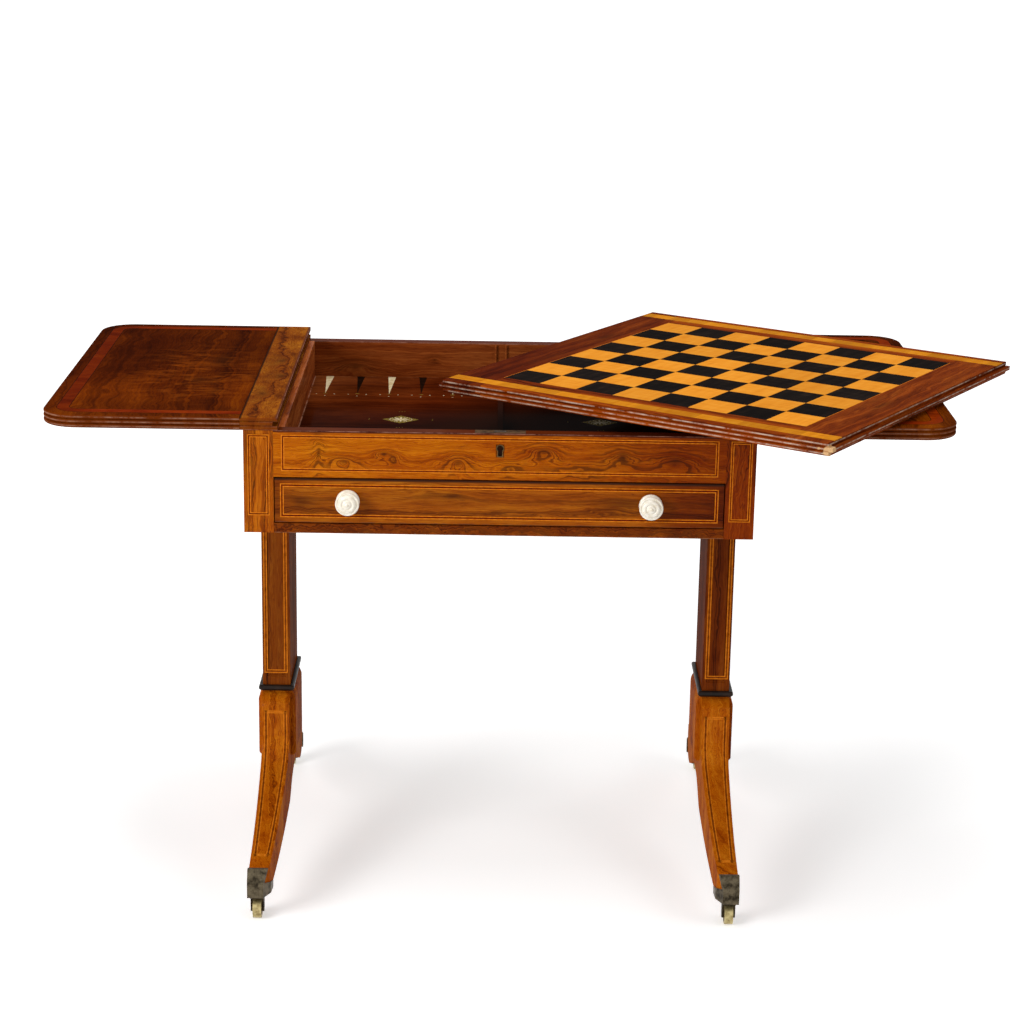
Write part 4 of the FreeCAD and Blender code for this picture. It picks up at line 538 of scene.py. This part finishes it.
# plain finishes
inlaid = {"rough": 0.35, "coat": 0.03, "mirror": 0.0}  # thin wood and bone, levelled and polished with the veneer
plain = {
    # boxwood: a line yellowed by polish
    "boxwoodLine": {"colour": "#d2761a", "spread": "#b65f0a", "size": 6, **inlaid},
    # rosewood: a dark red-brown line
    "rosewoodLine": {"colour": "#6a1a04", "spread": "#441003", "size": 5, **inlaid},
    # walnut that shows between two boxwood lines on the stand
    "walnutLine": {"colour": "#84400c", "spread": "#602a06", "size": 6, **inlaid},
    # ebonised wood: black stain, rubbed brown at the edges
    "ebonised": {"colour": "#15110f", "spread": "#2c1e16", "size": 18, "rough": 0.42, "coat": 0.05, "mirror": 0.1},
    # turned bone: warm white, dense, polished
    "turnedBone": {"colour": "#f3ede0", "spread": "#e4d9c3", "size": 7, "rough": 0.3, "coat": 0.3, "mirror": 0.5},
    # sawn bone: cream, browned in its pores
    "boneInlay": {"colour": "#e2d4b0", "spread": "#c4ad80", "size": 12, **inlaid},
    # ebony: near black, faintly brown
    "ebonyInlay": {"colour": "#160b06", "spread": "#24120a", "size": 12, **inlaid},
    # bone stained olive
    "oliveInlay": {"colour": "#8c7430", "spread": "#4e3c16", "size": 4, **inlaid},
    # forged steel: brown-grey and dull
    "dullSteel": {"colour": "#4a453e", "spread": "#2e2a26", "size": 6, "rough": 0.5, "metal": 1.0},
    # lacquered brass gone brown, with bright rubbed patches
    "agedBrass": {"colour": "#6a5231", "spread": "#36291a", "size": 9, "rough": 0.42, "metal": 1.0},
    # cast brass with grey-brown tarnish
    "toeBrass": {"colour": "#625846", "spread": "#2c261c", "size": 11, "rough": 0.4, "metal": 0.9},
    # sheet brass stained flat brown by polish
    "plateBrass": {"colour": "#5c422a", "spread": "#38281a", "size": 9, "rough": 0.5, "metal": 0.3, "mirror": 0.0},
    # turned brass kept pale and bright by rolling
    "brightBrass": {"colour": "#c6b682", "spread": "#8c7a50", "size": 7, "rough": 0.36, "metal": 0.75},
    # cast brass, nearly black with age
    "darkBrass": {"colour": "#3c3122", "spread": "#1d1812", "size": 6, "rough": 0.45, "metal": 0.9},
}
plainLook = {
    "tones": (0.36, 0.6), "sheen": (0.3, 0.7),  # where the noise goes from one tone, and one sheen, to the other
    "duller": 0.1, "shinier": 0.05, "mirror": 0.15, "relief": (0.15, 0.0004), "coatRough": 0.15,
}


def plainFinish(name, look):
    # patches of two tones, their size given in mm
    material, add = newMaterial(name)
    where = add("TexCoord")["Object"]
    noise = {"Vector": where, "Scale": 1000 / look["size"], "Detail": 4, "Roughness": 0.62}
    patches = add("TexNoise", noise)["Fac"]
    stops = list(zip(plainLook["tones"], (look["spread"], look["colour"])))
    colour = add("ValToRGB", {"Fac": patches}, stops=stops)[0]
    (start, end), rough = plainLook["sheen"], look["rough"]
    dull, glossy = rough + plainLook["duller"], rough - plainLook["shinier"]
    sheen = {"From Min": start, "From Max": end, "To Min": dull, "To Max": glossy}
    rough = add("MapRange", {"Value": patches, **sheen})[0]
    coated(add, colour, rough, patches, plainLook["relief"], {
        "Metallic": look.get("metal", 0.0), "Specular IOR Level": look.get("mirror", plainLook["mirror"]),
        "Coat Weight": look.get("coat", 0.0), "Coat Roughness": plainLook["coatRough"],
    })
    return material


finishes.update({name: plainFinish(name, look) for name, look in plain.items()})

print("stage: plain finishes ready")

# chess squares: each square is cut from its own bit of veneer
squareGrain = {
    "shift": 400, "fibre": (50, 2.4, 8), "ripple": (9, 60, 8),  # mm
    "rippleShow": 0.4, "rubbed": (0.35, 0.7), "duller": 0.2, "relief": (0.1, 0.0003), "coat": 0.02, "coatRough": 0.18,
}
squares = {
    # satinwood: pale gold with a faint cross ripple
    "satinSquare": {
        "size": 58.5, "tones": [(0.3, "#dc831f"), (0.5, "#ec962a"), (0.7, "#f4a63a")], "rough": 0.3, "vary": 0.16,
    },
    # ebony: near black with brown streaks and a soft shine
    "ebonySquare": {
        "size": 58.5, "tones": [(0.3, "#0d0908"), (0.52, "#1a1310"), (0.72, "#32261e")], "rough": 0.3, "vary": 0.5,
    },
    # satinwood band: yellow, cut across the grain in short lengths
    "satinBand": {
        "size": 31.0, "tones": [(0.3, "#c06c0c"), (0.5, "#d98717"), (0.7, "#e69c2a")], "rough": 0.28, "vary": 0.3,
    },
}


def squareFinish(name, look):
    material, add = newMaterial(name)
    local = measured(add, boardMiddle, (0, 0, boardTurn))
    share = 1 / look["size"]
    cell = add("VectorMath", {0: local, 1: (share, share, 0)}, "MULTIPLY")[0]
    cell = add("VectorMath", {0: cell}, "FLOOR")[0]
    chance = add("TexWhiteNoise", {"Vector": cell}, noise_dimensions="3D")
    shift = {0: chance["Color"], 1: [squareGrain["shift"]] * 3, 2: local}
    moved = add("VectorMath", shift, "MULTIPLY_ADD")[0]
    thread, wave = ([1 / v for v in squareGrain[key]] for key in ("fibre", "ripple"))
    along = add("VectorMath", {0: moved, 1: thread}, "MULTIPLY")[0]
    noise = {"Vector": along, "Scale": 1, "Detail": 4, "Roughness": 0.6, "Distortion": 0.4}
    fibres = add("TexNoise", noise)["Fac"]
    cross = add("VectorMath", {0: moved, 1: wave}, "MULTIPLY")[0]
    ripple = add("TexNoise", {"Vector": cross, "Scale": 1, "Detail": 2})["Fac"]
    both = add("Mix", {0: squareGrain["rippleShow"], 2: fibres, 3: ripple}, data_type="FLOAT")[0]
    colour = add("ValToRGB", {"Fac": both}, stops=look["tones"])[0]
    level = add("MapRange", {"Value": chance["Value"], "To Min": 1 - look["vary"], "To Max": 1.0})[0]
    shade = add("CombineColor", {0: level, 1: level, 2: level})[0]
    colour = add("Mix", {0: 1.0, 6: colour, 7: shade}, data_type="RGBA", blend_type="MULTIPLY")[2]
    rub = add("TexNoise", {"Vector": local, "Scale": 0.02, "Detail": 5, "Roughness": 0.6})["Fac"]
    (start, end), dull = squareGrain["rubbed"], look["rough"] + squareGrain["duller"]
    sheen = {"From Min": start, "From Max": end, "To Min": look["rough"], "To Max": dull}
    rough = add("MapRange", {"Value": rub, **sheen})[0]
    coated(add, colour, rough, fibres, squareGrain["relief"], {
        "Specular IOR Level": 0.0, "Coat Weight": squareGrain["coat"], "Coat Roughness": squareGrain["coatRough"],
    })
    return material


finishes.update({name: squareFinish(name, look) for name, look in squares.items()})

print("stage: chess squares ready")

# finishes on the table's own solids
corners = ["front_left", "front_right", "back_left", "back_right"]
painted = {
    "friezeWalnut": ["frieze_rail"],
    "drawerWalnut": ["drawer_front"],
    "railWalnut": ["bottom_rail"],
    "pilasterWalnut": ["corner_posts"],
    "caseSideWalnut": ["fly_rails"],
    "backWalnut": ["back_rail", "bar_guides"],
    "stripWalnut": ["top_strips"],
    "leafMahogany": ["left_leaf", "right_leaf"],
    "postWalnut": ["end_posts"],
    "legWalnut": ["sabre_legs", "knee_blocks", "knee_cheeks"],
    "wellMahogany": ["side_panels"],
    "wellFloorMahogany": ["well_floor", "well_bar"],
    "bandRosewood": ["left_leaf_banding", "right_leaf_banding"],
    "borderWalnut": ["board_panel"],
    "clampWalnut": ["board_clamps"],
    "bracketOak": ["left_bracket", "right_bracket"],
    "carcaseDeal": ["side_packers", "drawer_runners", "drawer_sides", "drawer_back", "drawer_bottom"],
    "boxwoodLine": ["case_stringing", "post_stringing", "drawer_stringing"],
    "ebonised": ["post_collars"],
    "turnedBone": ["drawer_knobs"],
    "boneInlay": ["well_points_light"],
    "oliveInlay": ["well_medallions"],
    "ebonyInlay": ["well_points_dark"],
    "dullSteel": [
        "lock_case", "lock_bolt", "bracket_pins", "hinge_pins", "fixed_hinge_plates", "left_hinge_plates",
        "right_hinge_plates",
    ],
    "agedBrass": ["keyhole_escutcheon"],
    "plateBrass": ["lock_plate"],
    "toeBrass": ["toe_caps"],
    "darkBrass": [corner + "_castor_fork" for corner in corners],
    "brightBrass": [corner + "_castor_wheel" for corner in corners],
    "satinSquare": ["light_squares"],
    "ebonySquare": ["dark_squares"],
    "satinBand": ["board_bands"],
}

for finish, names in painted.items():
    for name in names:
        mesh = nodes[name].data
        mesh.materials.clear()
        mesh.materials.append(finishes[finish])

print("stage: solids painted")

# inlaid lines, knobs and other fine pieces
caseFront, postFront = -292, -61.5  # faces that carry the lines, mm


def newPiece(name, mesh, paints, body):
    # a finished mesh becomes an object that rides on its body
    data = bpy.data.meshes.new(name)
    mesh.to_mesh(data)
    mesh.free()
    for paint in paints:
        data.materials.append(finishes[paint])
    piece = bpy.data.objects.new(name, data)
    bpy.context.scene.collection.objects.link(piece)
    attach(piece, body)
    return piece


def inlay(mesh, loops, sink, paint):
    # flat faces between neighbouring loops of points, pushed in along sink to make a thin inlay
    rows = [[mesh.verts.new(point) for point in loop] for loop in loops]
    faces = []
    for first, second in zip(rows, rows[1:]):
        for i in range(len(first) - 1):
            faces.append(mesh.faces.new((first[i], first[i + 1], second[i + 1], second[i])))
            faces[-1].material_index = paint
    grown = bmesh.ops.extrude_face_region(mesh, geom=faces)
    moved = [v for v in grown["geom"] if isinstance(v, bmesh.types.BMVert)]
    bmesh.ops.translate(mesh, verts=moved, vec=sink)
    for face in grown["geom"]:
        if isinstance(face, bmesh.types.BMFace):
            face.material_index = paint


# Boxwood, a darker wood between, boxwood. Each frame has its outer corners (x and z, mm), its face, its three widths
# and the node that it stands for.
caseLines = {"node": "case_stringing", "body": "root", "face": caseFront, "between": "rosewoodLine"}
postLines = {"node": "post_stringing", "body": "root", "widths": (1.4, 2.4, 1.4), "between": "walnutLine"}
frames = {
    "friezeFrame": {**caseLines, "box": (-292.5, 292.5, 656.2, 706.2), "widths": (1.4, 1.6, 1.4)},
    "leftPilasterFrame": {**caseLines, "box": (-337.6, -308.6, 594, 706.2), "widths": (1.3, 1.5, 1.3)},
    "rightPilasterFrame": {**caseLines, "box": (308.6, 337.6, 594, 706.2), "widths": (1.3, 1.5, 1.3)},
    "drawerFrame": {
        **caseLines, "node": "drawer_stringing", "body": "drawer", "box": (-294.2, 294.2, 592, 639),
        "widths": (1.4, 2.0, 1.4),
    },
    "leftPostFrame": {**postLines, "box": (-340.4, -306.4, 286, 566), "face": postFront},
    "rightPostFrame": {**postLines, "box": (306.4, 340.4, 286, 566), "face": postFront},
    "leftPostBackFrame": {**postLines, "box": (-340.4, -306.4, 286, 566), "face": -postFront},
    "rightPostBackFrame": {**postLines, "box": (306.4, 340.4, 286, 566), "face": -postFront},
}
lineProud, lineSunk = 0.05, 0.6  # how an inlaid line sits in its face, mm


def rectangle(x0, x1, z0, z1, y):
    return [at(x, y, z) for x, z in ((x0, z0), (x1, z0), (x1, z1), (x0, z1), (x0, z0))]


for name, spec in frames.items():
    mesh = bmesh.new()
    outwards = -1 if spec["face"] < 0 else 1
    y = spec["face"] + outwards * lineProud
    x0, x1, z0, z1 = spec["box"]
    inset = 0
    for paint, width in enumerate(spec["widths"]):
        loops = [rectangle(x0 + d, x1 - d, z0 + d, z1 - d, y) for d in (inset, inset + width)]
        inlay(mesh, loops, Vector((0, -outwards * lineSunk / 1000, 0)), paint % 2)
        inset += width
    framePiece = newPiece(name, mesh, ["boxwoodLine", spec["between"]], spec["body"])
    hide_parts(spec["node"])

print("stage: stringing ready")

# keyhole: a thin brass rim that follows the hole, black inside
keyhole = {
    "eye": 5.4, "half": 4.1, "tall": 17.4, "rim": 1.3, "thick": 1.0, "steps": 14,
    "arc": (-48, 276),  # where the round eye starts, and how far it sweeps, in degrees
    "corner": (0.8, 0.9), "below": 0.3, "deep": 0.9,
}


def keyOutline(inset, top, y):
    # an arc over the top, then down to a squared foot with its corners off
    radius, half, foot = keyhole["eye"] - inset, keyhole["half"] - inset, top - keyhole["tall"] + inset
    start, sweep = keyhole["arc"]
    points = []
    for i in range(keyhole["steps"] + 1):
        turn = math.radians(start + sweep * i / keyhole["steps"])
        points.append((radius * math.cos(turn), top - keyhole["eye"] + radius * math.sin(turn)))
    x, z = keyhole["corner"]
    points += [(-half, foot + z), (-half + x, foot), (half - x, foot), (half, foot + z), points[0]]
    return [at(x, y, z) for x, z in points]


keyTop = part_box("keyhole_escutcheon")[1][2] * 1000 - keyhole["below"]
mesh = bmesh.new()
loops = [keyOutline(inset, keyTop, caseFront - keyhole["thick"]) for inset in (0, keyhole["rim"])]
inlay(mesh, loops, Vector((0, keyhole["thick"] / 1000, 0)), 0)
sunk = Vector((0, keyhole["deep"] / 1000, 0))
hole = mesh.faces.new([mesh.verts.new(point + sunk) for point in loops[1][:-1]])
hole.material_index = 1
bmesh.ops.recalc_face_normals(mesh, faces=[hole])
rim = newPiece("keyholeRim", mesh, ["agedBrass", "ebonyInlay"], "root")
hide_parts("keyhole_escutcheon")

print("stage: keyhole ready")

# a fine boxwood line between the chess field and each clamp
fieldLine = {"reach": 234, "length": 234, "width": 1.1, "proud": 0.02}
mesh = bmesh.new()
turn = Matrix.Rotation(math.radians(boardTurn), 3, "Z")
for hand in (-1, 1):
    rows = []
    for across in (fieldLine["reach"] - fieldLine["width"] / 2, fieldLine["reach"] + fieldLine["width"] / 2):
        ends = [turn @ Vector((hand * across, along, 0)) for along in (-fieldLine["length"], fieldLine["length"])]
        rows.append([at(boardMiddle[0] + p.x, boardMiddle[1] + p.y, boardMiddle[2] + fieldLine["proud"]) for p in ends])
    inlay(mesh, rows, Vector((0, 0, -lineSunk / 1000)), 0)
newPiece("fieldLines", mesh, ["boxwoodLine"], "board")

print("stage: field lines ready")

# lines that follow the front of each sabre leg
legData = nodes["sabre_legs"].data
legTree = BVHTree.FromPolygons([v.co.copy() for v in legData.vertices], [p.vertices[:] for p in legData.polygons])
legLine = {
    "high": 236, "low": 86, "steps": 60, "edges": (3.4, 4.8, 7.4, 8.8), "outer": 343,
    "probe": (332, 500), "behind": 1,  # rays start here (x, y); the inner face is sought this far behind the front
    "bars": [(0, 1, 0.6), (1, 2, 0.6), (60, 59, 0.6)],  # closing lines: from step, towards step, share of it
}


def legPoints(side, end):
    # for heights down the leg: where its front is, and how far its inner face stands from the middle
    rows = []
    for i in range(legLine["steps"] + 1):
        z = legLine["high"] + (legLine["low"] - legLine["high"]) * i / legLine["steps"]
        start = at(side * legLine["probe"][0], end * legLine["probe"][1], z)
        hit, normal, _, _ = legTree.ray_cast(start, Vector((0, -end, 0)))
        behind = hit - normal * legLine["behind"] / 1000
        across, _, _, _ = legTree.ray_cast(Vector((caseMiddle.x, behind.y, behind.z)), Vector((side, 0, 0)))
        rows.append((hit, normal, abs(across.x - caseMiddle.x) * 1000))
    return rows


def legRibbon(mesh, rows, side, offsets, paint):
    # offsets: two distances from the leg's outer edge, or from its inner edge where negative
    loops = []
    for offset in offsets:
        loop = []
        for hit, normal, inner in rows:
            x = legLine["outer"] - offset if offset > 0 else inner - offset
            loop.append(Vector((caseMiddle.x + side * x / 1000, hit.y, hit.z)) + normal * lineProud / 1000)
        loops.append(loop)
    sink = sum((row[1] for row in rows), Vector()).normalized() * -lineSunk / 1000
    inlay(mesh, loops, sink, paint)


for endName, end in (("front", -1), ("back", 1)):
    for sideName, side in (("Left", -1), ("Right", 1)):
        rows = legPoints(side, end)
        mesh = bmesh.new()
        a, b, c, d = legLine["edges"]
        for near, far, paint in ((a, b, 0), (b, c, 1), (c, d, 0)):
            legRibbon(mesh, rows, side, (near, far), paint)
            legRibbon(mesh, rows, side, (-far, -near), paint)
        for first, second, share in legLine["bars"]:
            start, finish = rows[first], rows[second]
            part = [start, tuple(s + (e - s) * share for s, e in zip(start, finish))]
            legRibbon(mesh, part, side, (a, -a), 0)
        newPiece(endName + sideName + "LegLines", mesh, ["boxwoodLine", "walnutLine"], "root")

print("stage: leg lines ready")

# drawer knobs, turned from bone: distance from the drawer and radius, mm
knob = {
    "centres": (-203.4, 203.4), "height": 615.7, "segments": 44, "merge": 0.00002,
    "profile": [
        (-0.5, 0), (-0.5, 15.2), (0.4, 15.9), (2.2, 16.1), (3.6, 15.3), (4.6, 12.4), (7, 9.8), (9.6, 9.3), (12, 11.2),
        (13.8, 15.2), (15.4, 16.4), (17.0, 16.2), (18.2, 15.0), (18.0, 13.8), (17.2, 13.2), (17.4, 12.4), (19.4, 11.9),
        (20.6, 10.6), (21.2, 8.6), (20.6, 7.4), (19.9, 6.8), (20.2, 6.0), (21.4, 5.4), (22.4, 4.2), (22.0, 3.2),
        (22.6, 2.2), (23.6, 1.5), (24.0, 0),
    ],
}
for name, x in zip(("leftKnob", "rightKnob"), knob["centres"]):
    mesh = bmesh.new()
    path = [mesh.verts.new(at(x, caseFront - d, knob["height"] + r)) for d, r in knob["profile"]]
    rims = [mesh.edges.new(pair) for pair in zip(path, path[1:])]
    bmesh.ops.spin(
        mesh, geom=path + rims, cent=at(x, caseFront, knob["height"]), axis=(0, 1, 0), angle=math.tau,
        steps=knob["segments"], use_merge=True,
    )
    bmesh.ops.remove_doubles(mesh, verts=mesh.verts, dist=knob["merge"])
    bmesh.ops.recalc_face_normals(mesh, faces=mesh.faces)
    for face in mesh.faces:
        face.smooth = True
    turned = newPiece(name, mesh, ["turnedBone"], "drawer")
    rounding = turned.modifiers.new("rounding", "SUBSURF")
    rounding.levels = rounding.render_levels = 1
    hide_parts("drawer_knobs")

print("stage: knobs ready")

# edges softened by two centuries of polishing (widths in mm)
softened = {
    "frieze_rail": 0.7, "bottom_rail": 0.7, "drawer_front": 0.6, "end_posts": 0.8, "sabre_legs": 0.8,
    "knee_blocks": 0.8, "knee_cheeks": 0.6, "post_collars": 0.7, "toe_caps": 0.8,
}
weldWithin, sharpAngle = 0.00001, 38  # metres, degrees
for name, width in softened.items():
    solid = nodes[name]
    solid.modifiers.new("joined", "WELD").merge_threshold = weldWithin
    soft = solid.modifiers.new("softened", "BEVEL")
    soft.width, soft.segments = width / 1000, 2
    soft.limit_method, soft.angle_limit = "ANGLE", math.radians(sharpAngle)

print("stage: edges softened")

# dots and rosettes in the well
well = {
    "floor": 656.7, "spacing": 48.1, "wall": 272, "length": 115, "rows": (-1, 1), "columns": 12,
    "dash": (3.6, 1.5), "dot": 1.15,  # half length and half width at a point's tip, and radius of the dots about it
    "sideDots": (13.5, 4), "farDot": 15,  # across and past the tip
    "rosette": 144.3, "petals": 8, "petal": (6.2, 1.5), "petalReach": 6.6,
    "guards": (46, 47), "guardGap": 4, "guardDot": 0.9,  # three dots past each end of a rosette
    "scroll": (13.5, 2.5, 14), "beads": 9, "beadTurns": (-64, 16), "bead": (1.5, 0.7),
    "proud": (0.06, 0.1), "sides": 20,  # inlay above the floor, alone and over other inlay, and sides of an oval
}


def spot(mesh, x, y, size, turn=0, paint=0, height=well["proud"][0]):
    # a thin oval of inlay on the well floor
    place = Matrix.Translation(at(x, y, well["floor"] + height)) @ Matrix.Rotation(turn, 4, "Z")
    made = bmesh.ops.create_circle(mesh, cap_ends=True, segments=well["sides"], radius=0.001, matrix=Matrix.Identity(4))
    bmesh.ops.scale(mesh, vec=(*size, 1), verts=made["verts"])
    bmesh.ops.transform(mesh, matrix=place, verts=made["verts"])
    for face in {face for vert in made["verts"] for face in vert.link_faces}:
        face.material_index = paint


mesh = bmesh.new()
tip = well["wall"] - well["length"]
dot, guardDot = [well["dot"]] * 2, [well["guardDot"]] * 2
across, beyond = well["sideDots"]
for column in range(well["columns"]):
    x = (column - (well["columns"] - 1) / 2) * well["spacing"]
    for end in well["rows"]:
        spot(mesh, x, end * tip, well["dash"], paint=1)
        spot(mesh, x, end * (tip - well["farDot"]), dot)
        for side in (-1, 1):
            spot(mesh, x + side * across, end * (tip - beyond), dot)
for side in (-1, 1):
    x = side * well["rosette"]
    for petal in range(well["petals"]):
        turn = petal * math.tau / well["petals"]
        reach = well["petalReach"]
        spot(mesh, x + reach * math.cos(turn), reach * math.sin(turn), well["petal"], turn, 0, well["proud"][1])
    for quarter in range(4):
        turn = quarter * math.tau / 4
        away = well["guards"][quarter % 2]
        for step in (-1, 0, 1):
            aside = well["guardGap"] * step
            spot(
                mesh, x + away * math.cos(turn) - aside * math.sin(turn),
                away * math.sin(turn) + aside * math.cos(turn), guardDot, paint=1,
            )
    wide, swell, tall = well["scroll"]
    for hand in (-1, 1):
        for step in range(well["beads"]):
            turn = math.radians(well["beadTurns"][0] + well["beadTurns"][1] * step)
            spot(
                mesh, x + hand * (wide + swell * math.cos(turn * 2)) * math.cos(turn), tall * math.sin(turn),
                well["bead"], hand * (turn + math.pi / 2), 0, well["proud"][1],
            )
newPiece("wellDots", mesh, ["boneInlay", "oliveInlay"], "root")

print("stage: well inlay ready")

# floor, light and camera
studio = {
    "floorSize": 60, "floorColour": "#f4f4f4", "skyLevel": 0.42,
    "glow": (0.6, 2.4, 0.41, 0.75),  # the floor whitens from here to here (m), by this and this much
    "glowFrom": (0, 0.25, 0),
    "lamps": [
        # place (m), aim (m), width, height, watts
        ((-3.2, -2.9, 2.1), (-0.1, 0, 0.6), 1.9, 1.9, 122),
        ((3.0, -1.8, 2.6), (0, 0, 0.6), 1.6, 1.6, 22),
        ((-0.3, 0.0, 3.4), (0, 0, 0.6), 2.6, 1.4, 36),
    ],
}

bpy.ops.mesh.primitive_plane_add(size=studio["floorSize"], location=(0, 0, 0))
floor = bpy.context.object
floor.name = "studioFloor"
floorPaint, add = newMaterial("studioFloor")
diffuse = add("BsdfDiffuse", {"Color": linear(studio["floorColour"])})[0]
where = add("TexCoord")["Object"]
away = add("VectorMath", {0: where, 1: studio["glowFrom"]}, "DISTANCE")["Value"]
near, far, least, most = studio["glow"]
level = add(
    "MapRange", {"Value": away, "From Min": near, "From Max": far, "To Min": least, "To Max": most},
    interpolation_type="SMOOTHSTEP",
)[0]
glow = add("Emission", {"Color": (1, 1, 1, 1), "Strength": level})[0]
lifted = add("AddShader", {0: diffuse, 1: glow})[0]
whiteRays = ("Is Camera Ray", "Is Glossy Ray", "Is Transmission Ray")


def seenBy(add):
    # 1 for rays that show the background itself, 0 for those that carry light
    rays = add("LightPath")
    seen = rays[whiteRays[0]]
    for kind in whiteRays[1:]:
        seen = add("Math", {0: seen, 1: rays[kind]}, "MAXIMUM")[0]
    return seen


# the glow is seen but lights nothing
both = add("MixShader", {0: seenBy(add), 1: diffuse, 2: lifted})[0]
add("OutputMaterial", {"Surface": both})
floor.data.materials.append(floorPaint)

world = bpy.data.worlds.new("studioSky")
world.use_nodes = True
bpy.context.scene.world = world
world.node_tree.nodes.clear()
add = partial(addNode, world.node_tree)
white = (1, 1, 1, 1)
sky = add("Background", {"Color": white, "Strength": studio["skyLevel"]})[0]
backdrop = add("Background", {"Color": white, "Strength": 1.0})[0]
sky = add("MixShader", {0: seenBy(add), 1: sky, 2: backdrop})[0]
add("OutputWorld", {"Surface": sky})

for number, (place, aim, width, height, watts) in enumerate(studio["lamps"]):
    lamp = bpy.data.lights.new("softbox%d" % number, "AREA")
    lamp.shape, lamp.size, lamp.size_y, lamp.energy = "RECTANGLE", width, height, watts
    holder = bpy.data.objects.new("softbox%d" % number, lamp)
    holder.location = place
    holder.rotation_euler = (Vector(aim) - Vector(place)).to_track_quat("-Z", "Y").to_euler()
    bpy.context.scene.collection.objects.link(holder)

viewpoint = {
    "place": (-5.64, -3485.67, 1526.88), "yaw": -0.41, "pitch": -16.12, "roll": -0.97,  # mm and degrees
    "lens": 86.94, "sensor": 36, "far": 100,  # mm, mm and m
}
turn = (
    Matrix.Rotation(math.radians(viewpoint["yaw"]), 3, "Z")
    @ Matrix.Rotation(math.radians(viewpoint["pitch"]), 3, "X")
    @ Matrix.Rotation(math.radians(viewpoint["roll"]), 3, "Y")
)
lens = bpy.data.cameras.new("viewpoint")
lens.lens, lens.sensor_width, lens.clip_end = viewpoint["lens"], viewpoint["sensor"], viewpoint["far"]
camera = bpy.data.objects.new("viewpoint", lens)
axes = Matrix((turn.col[0], turn.col[2], -turn.col[1])).transposed()
camera.matrix_world = Matrix.Translation(at(*viewpoint["place"])) @ axes.to_4x4()
bpy.context.scene.collection.objects.link(camera)
bpy.context.scene.camera = camera
bpy.context.scene.view_settings.view_transform = "Standard"

print("stage: studio ready")
